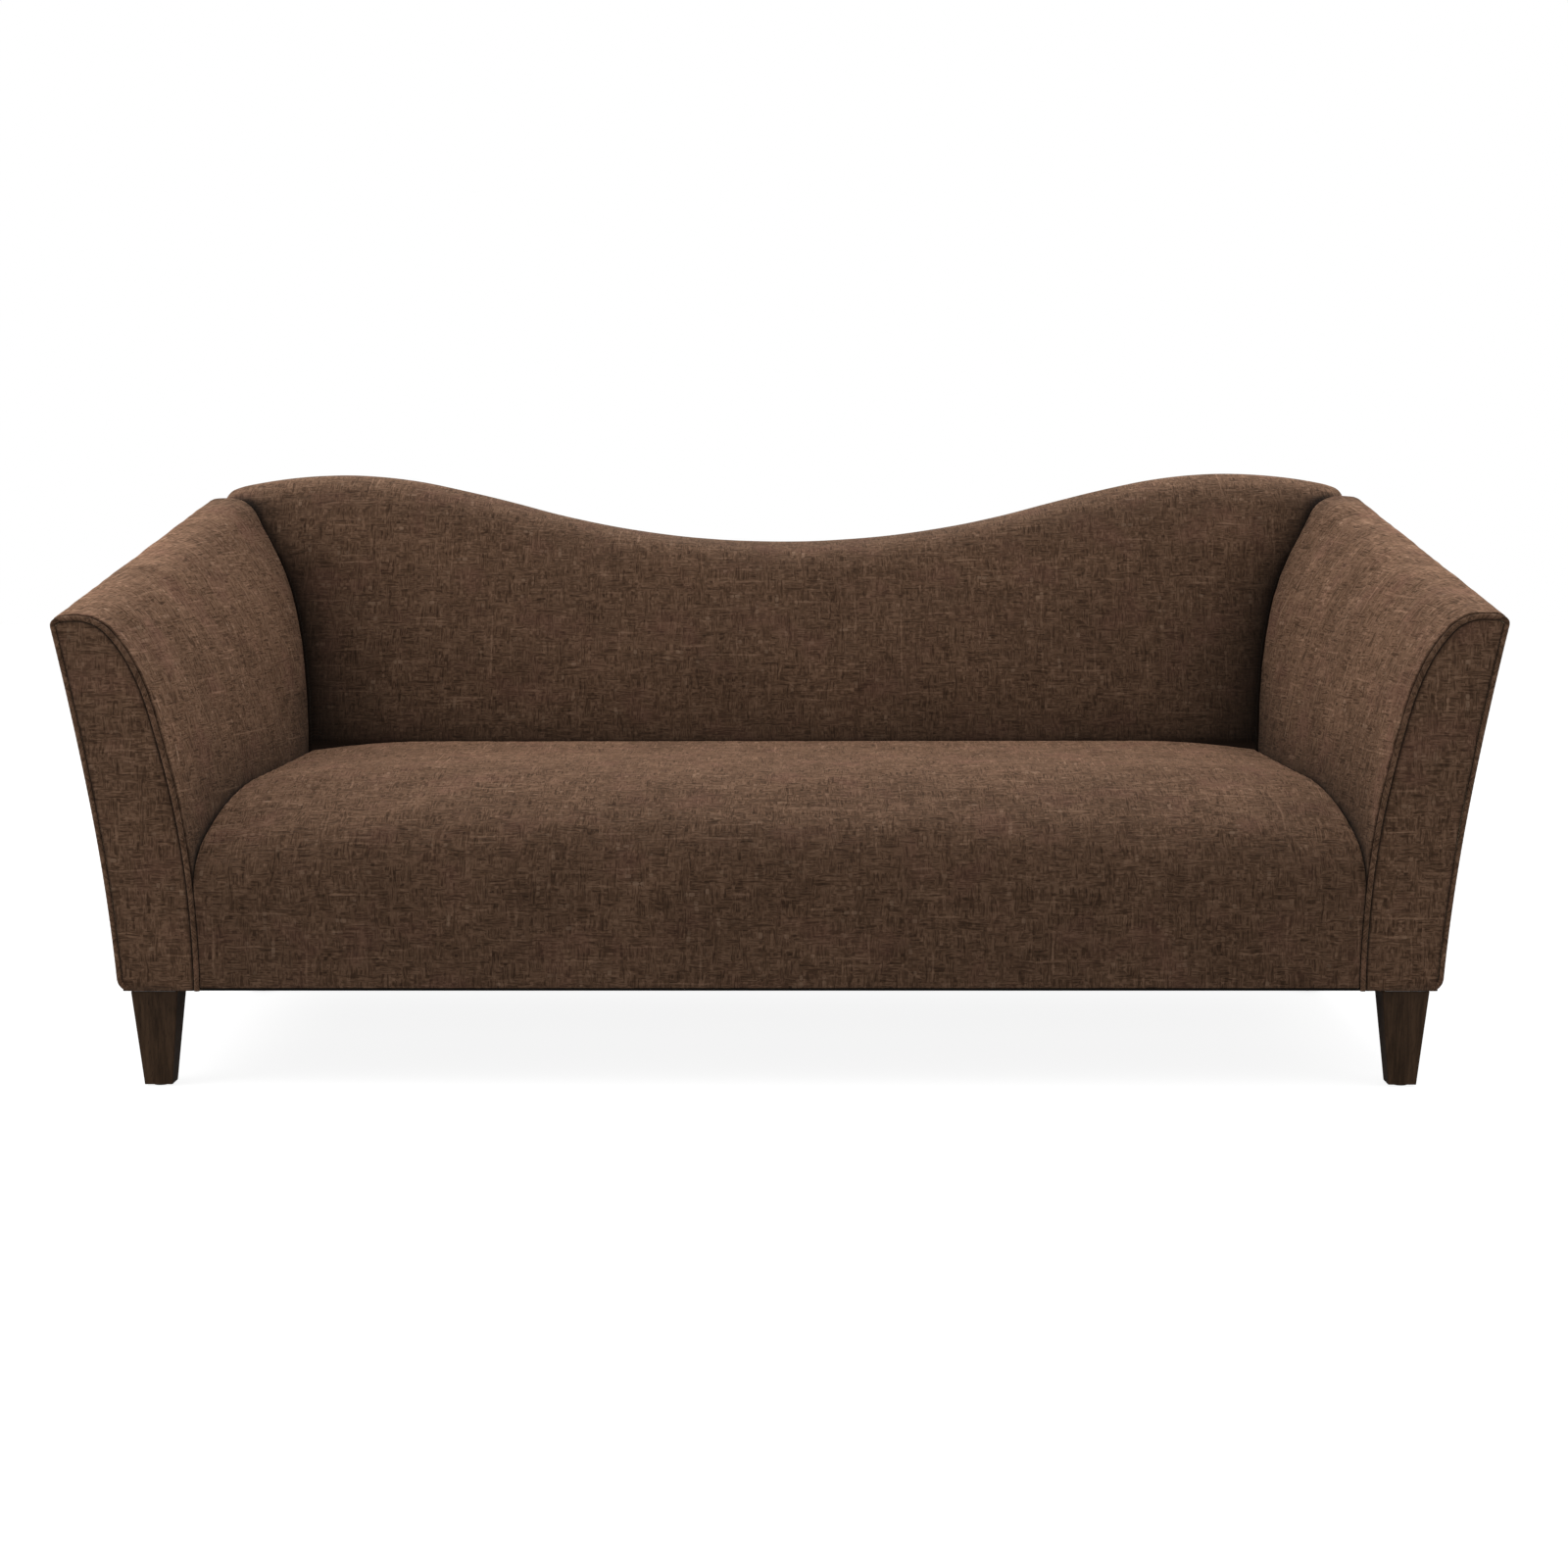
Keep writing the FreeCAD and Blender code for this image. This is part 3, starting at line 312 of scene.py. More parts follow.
# Shapes that pieces share
arm = {
    "toeIn": 0.107,
    "height": (0.562, 0.769),      # underside to crown, front and rear
    "waist": (0.038, 0.019),       # lean of the inner face at its waist
    "neck": (0.089, 0.097),
    "crown": (0.169, 0.184),
    "outer": (0.084, -0.006),      # flare of the outer side at its top
    "waistShare": 0.607,
    "neckShare": 0.886,
    "waistLean": (76.5, 81),
    "neckLean": (62, 55),
    "outerBow": (4, 0),
    "cornerLean": (-5, -8),
    "cornerRadius": 0.016,
    "cornerDrop": 0.001,
    "footRadius": 0.019,
}


# The arm's section in X and Z at these places along Y: eight nodes and their directions,
# each in line between the front section and the rear one.
def armSection(y):
    share = (np.asarray(y, float) - sofa["front"]) / sofa["depth"]
    low, outerFoot = sofa["underside"], sofa["outerFoot"]
    ends = []
    for k, toe in ((0, 0.0), (1, arm["toeIn"])):
        height, outer = arm["height"][k], outerFoot + arm["outer"][k]
        foot = sofa["innerFoot"] - toe
        corner = low + height - arm["cornerDrop"]
        side = math.degrees(math.atan2(height, arm["outer"][k])) - 180
        bow = arm["outerBow"][k]
        ends.append(np.array([
            (foot, low, 90),
            (foot + arm["waist"][k], low + height * arm["waistShare"], arm["waistLean"][k]),
            (foot + arm["neck"][k], low + height * arm["neckShare"], arm["neckLean"][k]),
            (foot + arm["crown"][k], low + height, 0),
            (outer - arm["cornerRadius"], corner, arm["cornerLean"][k]),
            (outer, corner - arm["cornerRadius"], side - bow),
            (outerFoot, low + arm["footRadius"], side + bow),
            (outerFoot - arm["footRadius"], low, -180),
        ]))
    both = ends[0] + (ends[1] - ends[0]) * share[..., None, None]
    return both[..., :2], np.radians(both[..., 2])


def armPart(y, first, last):
    nodes, angles = armSection(y)
    return nodes[..., first:last + 1, :], angles[..., first:last + 1]


# Table of the arm's inner face: its X by Y and Z. Over the crown it keeps the crown's X.
tableY = np.linspace(-0.46, 0.46, 93)
tableZ = np.linspace(0.10, 0.94, 169)
tableX = np.zeros((len(tableY), len(tableZ)))
for row, placeY in enumerate(tableY):
    rowPoints = chainTable(*armPart(placeY, 0, 3), 400)[0]
    tableX[row] = np.interp(tableZ, rowPoints[:, 1], rowPoints[:, 0])


def armInnerX(y, z):
    # Value between the four nearest entries of the table.
    a = np.clip((y - tableY[0]) / (tableY[1] - tableY[0]), 0, len(tableY) - 1.001)
    b = np.clip((z - tableZ[0]) / (tableZ[1] - tableZ[0]), 0, len(tableZ) - 1.001)
    i, j = a.astype(int), b.astype(int)
    s, t = a - i, b - j
    near = tableX[i, j] * (1 - t) + tableX[i, j + 1] * t
    far = tableX[i + 1, j] * (1 - t) + tableX[i + 1, j + 1] * t
    return near * (1 - s) + far * s


def faceY(z):
    # Face of the back: a plane that leans by the rake from the rear of the seat.
    lean = math.tan(math.radians(sofa["rake"]))
    return sofa["front"] + sofa["seatDepth"] + (z - sofa["seatHeight"]) * lean


def rearY(z):
    return sofa["depth"] / 2 + (z - sofa["rearHigh"]) * sofa["rearSlope"]


# Nodes of the finishes

# A node's output to reckon with: a sign between it and a number or another output adds the
# math node that does the same.
class Flow:
    def __init__(self, node, output=0):
        self.socket, self.tree = node.outputs[output], node.id_data

    def __add__(self, other):
        return calc("ADD", self, other)

    def __sub__(self, other):
        return calc("SUBTRACT", self, other)

    def __rsub__(self, other):
        return calc("SUBTRACT", other, self)

    def __mul__(self, other):
        return calc("MULTIPLY", self, other)

    def __truediv__(self, other):
        return calc("DIVIDE", self, other)


def feed(socket, value):
    if isinstance(value, Flow):
        value.tree.links.new(value.socket, socket)
    else:
        socket.default_value = value


def addNode(tree, kind, inputs=None, **settings):
    node = tree.nodes.new(kind)
    for key, value in settings.items():
        setattr(node, key, value)
    for key, value in (inputs or {}).items():
        feed(node.inputs[key], value)
    return node


def calc(operation, *values, clamp=False):
    tree = next(value.tree for value in values if isinstance(value, Flow))
    return Flow(addNode(tree, "ShaderNodeMath", dict(enumerate(values)), operation=operation,
                        use_clamp=clamp))


def blendValue(share, low, high):
    return Flow(addNode(share.tree, "ShaderNodeMix", {0: share, 2: low, 3: high},
                        data_type="FLOAT"))


def blendColour(share, low, high):
    return Flow(addNode(share.tree, "ShaderNodeMix", {0: share, 6: low, 7: high},
                        data_type="RGBA"), 2)


def smooth(value, low, high):
    return Flow(addNode(value.tree, "ShaderNodeMapRange",
                        {"Value": value, "From Min": low, "From Max": high},
                        interpolation_type="SMOOTHSTEP"))


def mottle(place, scale, detail=2.0, rough=0.5):
    return Flow(addNode(place.tree, "ShaderNodeTexNoise", {
        "Vector": place, "Scale": scale, "Detail": detail, "Roughness": rough}), "Fac")


def vectorOf(x, y, z):
    return Flow(addNode(x.tree, "ShaderNodeCombineXYZ", {0: x, 1: y, 2: z}))


def vectorMath(operation, vector, numbers):
    return Flow(addNode(vector.tree, "ShaderNodeVectorMath", {0: vector, 1: numbers},
                        operation=operation))


# A node group whose first input is a place and whose others are numbers. work is the
# function that turns them into its outputs.
def makeGroup(name, inputs, outputs, work):
    group = bpy.data.node_groups.new(name, "ShaderNodeTree")
    kinds = ["NodeSocketVector"] + ["NodeSocketFloat"] * (len(inputs) - 1)
    for title, kind in zip(inputs, kinds):
        group.interface.new_socket(title, in_out="INPUT", socket_type=kind)
    for title in outputs:
        group.interface.new_socket(title, in_out="OUTPUT", socket_type="NodeSocketFloat")
    entry = group.nodes.new("NodeGroupInput")
    given = [Flow(entry, k) for k in range(len(inputs))]
    addNode(group, "NodeGroupOutput", dict(enumerate(work(*given))))
    return group


def useGroup(tree, group, **values):
    node = addNode(tree, "ShaderNodeGroup", values, node_tree=group)
    return [Flow(node, k) for k in range(len(node.outputs))]


# What a user would change in the weave. Scales and drifts are changes per metre of cloth,
# and a pair of noises is where something starts and where it is full.
weave = {
    "yarn": 0.0056,             # width of one yarn
    "swayScale": 24.0,          # yarns wander off their lines at this scale, by this much
    "sway": 0.0075,
    "yarnStep": 5.37,           # how far the noise of a yarn lies from its neighbour's
    "shadeDrift": 30.0,         # how fast a yarn's shade changes along it
    "slubDrift": 21.0,
    "threadDrift": 6.0,
    "slubNoise": (0.64, 0.74),
    "threadNoise": ((0.66, 0.72), (0.62, 0.68)),    # warp and weft
    "ridge": 0.58,              # height of a yarn, of its passing over another, of a slub
    "passing": 0.30,
    "slubRise": 0.55,
    "overlap": 0.12,            # softness of the line where one yarn passes over another
    "rounding": 0.20,           # and of the dip there
    "fibreScale": 1100.0,
    "fibreRise": 0.22,
    "fibreShade": 0.25,
    "patchScale": 7.0,          # large paler and darker patches, and reddish ones
    "blushScale": 11.0,
    "bundlePatch": 46.0,
    "bundleNoise": (0.44, 0.56),
    "bundleScale": (270.0, 26.0),   # across a bundle and along it
    "lineWidth": 0.22,
    "lineRise": 0.55,
    "lineShade": 0.16,
    "yarnRest": 0.62,           # what bundles leave of the yarns' own height and shade
    "shadeRest": 0.70,
    "shadeShift": -0.06,
    "threadRise": 0.35,
    "threadShade": 0.16,
}


# Plain weave of uneven yarn. Warp and weft are ridges one yarn wide, half a cosine wave each,
# that pass over and under each other. Every yarn has its own shade, which drifts along it, and
# thick pale slubs.
def weaveNodes(flat, yarn):
    sway = addNode(flat.tree, "ShaderNodeTexNoise", {
        "Vector": flat, "Scale": weave["swayScale"], "Detail": 2.0})
    swayParts = addNode(flat.tree, "ShaderNodeSeparateColor", {0: Flow(sway, "Color")})
    flatParts = addNode(flat.tree, "ShaderNodeSeparateXYZ", {0: flat})
    x, y = (Flow(swayParts, k) * weave["sway"] + Flow(flatParts, k) for k in (0, 1))
    numbers, ridges = [], []
    for across in (x / yarn, y / yarn):
        numbers.append(calc("FLOOR", across))
        ridges.append(calc("COSINE", (across - numbers[-1] - 0.5) * math.pi))
    side = calc("FLOORED_MODULO", numbers[0] + numbers[1], 2.0) * -2.0 + 1.0

    def yarnNoise(number, along, plane, drift, detail):
        place = vectorOf(number * weave["yarnStep"], along * drift, plane)
        return mottle(place, 1.0, detail, 0.6)

    # Warp first, then weft. Each noise lies in a plane of its own.
    slubs, tops, shades, threads = [], [], [], []
    for k, along, passing, slubPlane, shadePlane, threadPlane in (
            (0, y, weave["passing"], 31.0, 3.0, 73.0), (1, x, -weave["passing"], 47.0, 13.0, 61.0)):
        number, ridge = numbers[k], ridges[k]
        slub = smooth(yarnNoise(number, along, slubPlane, weave["slubDrift"], 2.0),
                      *weave["slubNoise"])
        slubs.append(slub)
        tops.append(ridge * weave["ridge"] + ridges[1 - k] * side * passing
                    + slub * weave["slubRise"])
        shades.append(yarnNoise(number, along, shadePlane, weave["shadeDrift"], 3.0))
        threads.append(smooth(yarnNoise(number, along, threadPlane, weave["threadDrift"], 1.0),
                              *weave["threadNoise"][k]) * ridge)
    over = smooth(tops[0] - tops[1], -weave["overlap"], weave["overlap"])
    fibre = mottle(flat, weave["fibreScale"])
    height = calc("SMOOTH_MAX", tops[0], tops[1], weave["rounding"]) + fibre * weave["fibreRise"]
    shade = blendValue(over, shades[1], shades[0]) + (fibre - 0.5) * weave["fibreShade"]
    # Bundles of yarn lie on top in one direction or the other, patch by patch: noise drawn out
    # along the bundles, whose middle values are thin raised lines.
    wide, run = weave["bundleScale"]
    drawn = [mottle(vectorOf(across * wide, along * run, plane), 1.0, 1.5, 0.55)
             for across, along, plane in ((x, y, 5.0), (y, x, 9.0))]
    chosen = smooth(mottle(flat, weave["bundlePatch"], 1.0), *weave["bundleNoise"])
    bundle = blendValue(chosen, drawn[1], drawn[0])
    line = 1.0 - smooth(calc("ABSOLUTE", bundle * 2.0 - 1.0), 0.0, weave["lineWidth"])
    height = line * weave["lineRise"] + height * weave["yarnRest"]
    shade = bundle * (1 - weave["shadeRest"]) + shade * weave["shadeRest"]
    shade = line * weave["lineShade"] + shade + weave["shadeShift"]
    # Here and there one pale yarn shows for a long way, more often along the weft.
    thread = calc("MAXIMUM", threads[1], threads[0])
    thread = thread * thread * thread
    height = thread * weave["threadRise"] + height
    shade = thread * weave["threadShade"] + shade
    patch = mottle(flat, weave["patchScale"], 4.0, 0.55)
    elsewhere = vectorMath("ADD", flat, (3.1, 7.7, 0.0))
    blush = mottle(elsewhere, weave["blushScale"], 3.0, 0.55)
    return height, shade, blendValue(over, slubs[1], slubs[0]), patch, blush


# What a user would change in the wood. Streaks, pores and bands hold their changes per metre
# across the grain and along it, their detail and their roughness.
wood = {
    "streaks": (230.0, 7.0, 4.0, 0.6),
    "pores": (900.0, 26.0, 2.0, 0.5),
    "bands": (34.0, 1.6, 3.0, 0.5),
    "poreNoise": (0.60, 0.72),
    "streakShare": 0.60,
    "bandShare": 0.45,
    "lightNoise": (0.30, 0.75),
    "poreShare": 0.55,
    "poreTone": 0.35,           # colour of a pore as a share of the dark one
    "poreDepth": 0.50,
    "roughSpan": 0.16,          # how much rougher the light streaks are than the dark ones
    "bump": 0.35,
}


# Wood grain along Z: long streaks, fine pores and slow bands of colour.
def grainNodes(place):
    streak, pores, bands = (
        mottle(vectorMath("MULTIPLY", place, (across, across, along)), 1.0, detail, rough)
        for across, along, detail, rough in (wood["streaks"], wood["pores"], wood["bands"]))
    return streak, smooth(pores, *wood["poreNoise"]), bands


# What a user would change in the mottled finishes.
specks = {
    "coarseScale": 0.11,        # scale of the large mottling as a share of the fine one's
    "fineShare": 0.70,
    "coarseShare": 0.40,
    "lightNoise": (0.35, 0.75),
    "bump": 0.40,
}


# Mottling at two scales, for dust cloth, felt, webbing, board, nylon and plated steel.
def speckNodes(place, scale):
    return mottle(place, scale, 4.0, 0.65), mottle(place, scale * specks["coarseScale"], 3.0)


slubWeave = makeGroup("slubWeave", ["Cloth", "Yarn"],
                      ["Height", "Shade", "Slub", "Patch", "Blush"], weaveNodes)
woodGrain = makeGroup("woodGrain", ["Place"], ["Tone", "Pores", "Bands"], grainNodes)
speck = makeGroup("speck", ["Place", "Scale"], ["Fine", "Coarse"], speckNodes)


def newMaterial(name, constants):
    # A material with its principled shader, whose plain numbers stand on its own sockets.
    material = bpy.data.materials.new(name)
    material.use_nodes = True
    shader = material.node_tree.nodes["Principled BSDF"]
    for title, value in constants.items():
        shader.inputs[title].default_value = value
    return material, material.node_tree, shader


def raised(shader, height, strength, distance):
    bump = addNode(height.tree, "ShaderNodeBump", {
        "Strength": strength, "Distance": distance, "Height": height})
    feed(shader.inputs["Normal"], Flow(bump))


def objectPlace(tree):
    return Flow(addNode(tree, "ShaderNodeTexCoord"), "Object")


# What a user would change in the look of the cloth.
cloth = {
    "dark": (0.030, 0.0158, 0.0088, 1),
    "middle": (0.078, 0.0425, 0.0250, 1),
    "pale": (0.150, 0.0880, 0.0560, 1),
    "stops": (0.30, 0.52, 0.78),    # shades at which it is dark, middle and pale
    "slub": (0.230, 0.1480, 0.1000, 1),
    "slubShare": 0.40,
    "blush": (0.105, 0.0480, 0.0350, 1),
    "blushShare": 0.30,
    "blushNoise": (0.50, 0.72),
    # Painted shade at the seams: its colour, and how much of it they get.
    "seamShadeColour": (0.012, 0.0065, 0.0040, 1),
    "seamShadeShare": 0.85,
    "sheenGain": 2.4,             # painted sheen: how much paler it is made where the eye skims over it
    "patchy": 0.50,
    "valleyShare": 0.42,
    "valleyHeight": (0.05, 0.75),
    "bump": 0.85,
    "relief": 0.0011,
}


def clothMaterial(name, tone, turn=0.0, yarn=1.0):
    material, tree, shader = newMaterial(name, {
        "Roughness": 0.95, "Specular IOR Level": 0.10, "Sheen Weight": 0.05,
        "Sheen Roughness": 0.45, "Sheen Tint": (1.0, 0.80, 0.64, 1)})
    flat = Flow(addNode(tree, "ShaderNodeUVMap", uv_map="cloth"))
    place = Flow(addNode(tree, "ShaderNodeMapping", {"Vector": flat, "Rotation": (0, 0, turn)}))
    height, shade, slub, patch, blush = useGroup(tree, slubWeave, Cloth=place,
                                                 Yarn=weave["yarn"] * yarn)
    ramp = addNode(tree, "ShaderNodeValToRGB", {0: shade})
    stops = ramp.color_ramp.elements
    stops[0].position, stops[0].color = cloth["stops"][0], cloth["dark"]
    stops[1].position, stops[1].color = cloth["stops"][2], cloth["pale"]
    stops.new(cloth["stops"][1]).color = cloth["middle"]
    colour = blendColour(slub * cloth["slubShare"], Flow(ramp), cloth["slub"])
    colour = blendColour(smooth(blush, *cloth["blushNoise"]) * cloth["blushShare"], colour,
                         cloth["blush"])
    # Painted sheen: the colour is made paler where the eye skims over it. The corner mark is
    # painted shade, darker deep in a corner, and below nought painted light.
    paintedSheen = Flow(addNode(tree, "ShaderNodeLayerWeight"), "Facing")
    corner = Flow(addNode(tree, "ShaderNodeAttribute", attribute_name="corner"), "Fac")
    paintedLight = (paintedSheen * paintedSheen * cloth["sheenGain"] + 1.0) * (1.0 - corner)
    # tone paints the whole piece paler or darker: painted light.
    gain = (patch * cloth["patchy"] + (1 - cloth["patchy"] / 2)) * paintedLight * tone
    tint = Flow(addNode(tree, "ShaderNodeCombineColor", {0: gain, 1: gain, 2: gain}))
    colour = Flow(addNode(tree, "ShaderNodeMix", {0: 1.0, 6: colour, 7: tint},
                          data_type="RGBA", blend_type="MULTIPLY"), 2)
    # Painted shade: the valleys between yarns are darkened, and the seams most of all.
    valley = (1.0 - smooth(height, *cloth["valleyHeight"])) * cloth["valleyShare"]
    colour = blendColour(valley, colour, cloth["dark"])
    seamShade = Flow(addNode(tree, "ShaderNodeAttribute", attribute_name="seamShade"), "Fac")
    colour = blendColour(calc("MULTIPLY", seamShade, cloth["seamShadeShare"], clamp=True), colour,
                         cloth["seamShadeColour"])
    feed(shader.inputs["Base Color"], colour)
    raised(shader, height, cloth["bump"], cloth["relief"])
    return material


# Each piece has its own tone: painted light, paler or darker copies of one cloth for how the
# light falls on each.
backCloth = clothMaterial("backCloth", 1.05)
seatCloth = clothMaterial("seatCloth", 0.88)
armCloth = clothMaterial("armCloth", 1.30)
panelCloth = clothMaterial("panelCloth", 1.10)
weltCloth = clothMaterial("weltCloth", 1.10, math.radians(45), 0.8)
print("cloth ready")


# Seat

# In the values of all pieces, waves hold their height, long and short length and the share of
# the short ones. Pulls hold their height, reach and length, and how much and how slowly their
# phase wanders. A seam (its painted shade), a painted shade or a painted glow given as a pair
# holds its strength and its reach.
seat = {
    "setback": 0.002,
    "hem": 0.004,
    "frontStraight": 0.152,
    "rollDepth": 0.071,
    "rollDrop": 0.065,
    "rollAngle": 24.0,
    "rearAngle": 1.5,
    "crown": 0.028,
    "flatHalf": 0.600,
    "edgeRadius": 0.0065,
    "frontEdgeRadius": 0.003,   # beside the welts, and how far behind them it grows
    "frontEdgeRun": 0.10,
    "hemRadius": 0.004,
    "rearRadius": 0.0035,
    "rearRise": 0.0030,         # how much fuller it is along the back, and how far
    "rearRiseRun": 0.12,
    "columns": 300,
    "rows": 150,
    "calmRun": 0.06,            # waves fade out over this run to the seams
    "pullStart": 0.008,
    "waves": (0.0012, 0.16, 0.055, 0.22),
    "sidePulls": (0.0007, 0.030, 0.037, 1.3, 0.2),
    "rearPulls": (0.0002, 0.022, 0.043, 1.5, 0.3),
    "foldX": (0.72, 0.07),      # middle and spread of the slanting folds
    "foldRun": (0.50, 0.09),
    "foldWay": (0.55, -0.83),
    "foldLength": 0.026,
    "foldHeight": 0.0005,
    "foldSway": (0.004, 0.08),
    "sideSeam": (1, 0.0012),
    "rearSeam": (1, 0.0012),
    # Painted light: the seat is made paler beside the arms and along its rear rim.
    "glow": (0.24, 0.045),
    "wideGlow": (0.17, 0.25),
    "glowLow": (0.33, 0.38),    # heights between which these two glows come in
    "rimGlow": (0.30, 0.014),
}


# The seat's section in Y and Z: up from the hem, round the front and back to the rear. It
# falls towards the arms by the square of the share of the way past its level part.
def seatSection(x):
    fallEnd = sofa["innerFoot"] + seat["setback"]
    fall = np.maximum(0, (np.abs(x) - seat["flatHalf"]) / (fallEnd - seat["flatHalf"]))
    drop = seat["crown"] * fall ** 2
    front = sofa["front"] + seat["setback"]
    rear = sofa["seatHeight"] - drop
    nodes = gridNodes(
        x, (front, sofa["underside"] + seat["hem"]),
        (front, sofa["underside"] + seat["frontStraight"] - drop / 2),
        (front + seat["rollDepth"], rear - seat["rollDrop"]),
        (faceY(rear) - sofa["gap"], rear))
    angles = np.radians(np.array([90, 90, seat["rollAngle"], seat["rearAngle"]]))
    return nodes, angles + np.zeros(nodes.shape[:-1])


# Height of the seat's side edge along Y, where it meets the arms.
edgePoints = chainTable(*seatSection(np.array(sofa["innerFoot"])), 200)[0]


def seatEdge(y):
    return np.interp(y, edgePoints[:, 0], edgePoints[:, 1])


# The seat's sheet: its section at places along X, as wide as the arms leave it, moved along
# its normals by waves and folds and in at its rolled edges.
def makeSeat():
    u, v = spread(2 * clustered(seat["columns"], 0.008, 0.008) - 1,
                  clustered(seat["rows"], 0.010, 0.018))
    x = u * sofa["innerFoot"]
    # Its width and its height depend on each other, so both are worked out again a few times
    # until they agree. The other sheets do the same.
    for turn in range(7):
        whole, y, z = atShare(*seatSection(x), v)
        half = armInnerX(y, z) - sofa["gap"]
        x = u * half
    points = np.stack([x, y, z], -1)
    side, rear, run = half * (1 - np.abs(u)), (1 - v) * whole, v * whole
    # Full in the middle and slack towards the seams, with slight waves of hand-pulled cloth.
    waves = slackWaves(x, run, *seat["waves"], 5)
    pull = seamPulls(side, run, *seat["sidePulls"], 8) + seamPulls(rear, x, *seat["rearPulls"], 9)
    # A few short folds run slantwise from where the seat meets the arms, fading all round.
    (foldX, spreadX), (foldRun, spreadRun) = seat["foldX"], seat["foldRun"]
    (wayX, wayRun), (sway, swayWave) = seat["foldWay"], seat["foldSway"]
    slant = np.abs(x) * wayX + run * wayRun + sway * unevenness(x, run, swayWave, 11)
    pull += (bell(np.abs(x), foldX, spreadX) * bell(run, foldRun, spreadRun)
             * np.sin(2 * np.pi * slant / seat["foldLength"]) * seat["foldHeight"])
    lift = waves * calmBy(seat["calmRun"], side, rear, run)
    lift += pull * rise(side, 0, seat["pullStart"])
    behindWelt = rise(y, sofa["front"], sofa["front"] + seat["frontEdgeRun"])
    radius = seat["frontEdgeRadius"] + (seat["edgeRadius"] - seat["frontEdgeRadius"]) * behindWelt
    lift -= np.maximum(edgeRoll(side, radius), edgeRoll(rear, seat["rearRadius"]))
    lift += seat["rearRise"] * bell(rear, 0, seat["rearRiseRun"])
    lift -= edgeRoll(run, seat["hemRadius"])
    points = points + surfaceNormals(points) * lift[..., None]
    # Painted light: beside the arms and along the rear rim the seat is made paler. Painted shade
    # lies at its side and rear seams.
    glow = fadings(seat, glow=side, wideGlow=side) * rise(z, *seat["glowLow"])
    marks = {"seamShade": fadings(seat, sideSeam=side, rearSeam=rear),
             "corner": -glow - fadings(seat, rimGlow=rear)}
    piece = makeGrid("seatCover", points, onCloth(x, run, 1.0), marks)
    dress(piece, seatCloth, ["seat_cover", "seat_foam"])


makeSeat()

# Back
back = {
    "middleTop": 0.804,
    "swellX": 0.440,
    "swellRise": 0.059,
    "crestX": 0.780,
    "roundX": 0.949,
    "endDrop": 0.031,
    "endShare": 0.55,
    "roundSlope": -11.5,
    "endSlope": -31.0,
    "frontRadius": 0.060,
    "easing": 9.0,              # how much more it leans where that roll starts, degrees
    "rearRadius": 0.038,
    "crown": 0.014,
    "crownHalf": 0.760,
    "thinning": 0.014,
    "wingFloor": 0.8447,        # underside of the rounded ends
    "hidden": 0.055,            # how far the face goes on below the seat
    "freeing": 0.060,           # height over which it comes out from behind the arm
    "armEnd": 0.30,             # the arm's face is taken from no further back than this,
    "armDrop": 0.045,           # and from at least this far below the wing floor
    "freeY": 0.33,              # further back it reaches its full width at any height
    "tuck": 0.012,
    "endRadius": 0.014,
    "edgeRadius": 0.009,
    "seatRadius": 0.006,
    "seamRadius": 0.003,
    "capShares": (0.12, 0.5, 1.0),  # rows that close each end, by their share of the way down
    "capSlide": 0.02,
    "columns": 300,
    "rows": 130,
    "calmRun": 0.06,
    "calmRear": 0.18,
    "pullStart": 0.008,
    "waves": (0.0011, 0.17, 0.06, 0.2),
    "armPulls": (0.0006, 0.028, 0.041, 1.3, 0.2),
    "rearPulls": (0.0003, 0.012, 0.047, 1.5, 0.3),
    # Painted shade at the seams, by the arm, over the seat, at the rear and on the top roll, and
    # painted light on the face.
    "armSeam": (1, 0.0025),
    "seatSeam": (1, 0.002),
    "rearSeam": (0.7, 0.0025),
    "armShade": 0.94,
    "armShadeReach": (0.092, 0.032),    # widest at the seat, thinnest at the top
    "armShadeHeight": (0.60, 0.84),
    "armShadeEnd": (0.34, 0.31),    # places along Y between which it ends
    "freeShade": 0.5,           # share of it that goes where the back stands free again
    "freeRun": (0.02, 0.05),
    "seatShade": 0.60,
    "seatShadeReach": 0.050,
    "seatCorner": (0.26, 0.25),     # how much deeper that is beside the arm
    "rearShade": (0.34, 0.07),
    "rollShade": 0.04,          # painted shade on the top roll, most where the top dips
    "dipShade": 0.26,
    "rollRun": (0.115, 0.060),  # run from the rear seam to the roll, and its width
    "faceGlow": 0.08,
    "faceRun": (0.245, 0.040),
}


# Height of the top of the back at these distances from the middle: a dip, a crest and a
# rounded end, read from points along its chain.
crestTop, roundDrop = sofa["crestTop"], back["endDrop"] * back["endShare"]
topNodes = np.array([(0.0, back["middleTop"]),
                     (back["swellX"], back["middleTop"] + back["swellRise"]),
                     (back["crestX"], crestTop),
                     (back["roundX"], crestTop - roundDrop),
                     (sofa["backHalf"], crestTop - back["endDrop"])])
swellAngle = 2 * math.degrees(math.atan(back["swellRise"] / back["swellX"]))
topAngles = np.radians([0, swellAngle, 0, back["roundSlope"], back["endSlope"]])
topPoints = chainTable(topNodes, topAngles, 3000)[0]


def backTop(x):
    return np.interp(np.abs(x), topPoints[:, 0], topPoints[:, 1])


# How much thinner the back is towards its rounded end, by a quarter circle.
def endThinning(x):
    share = rise(np.abs(x), back["roundX"], sofa["backHalf"])
    return back["thinning"] * (1 - np.sqrt(1 - share ** 2))


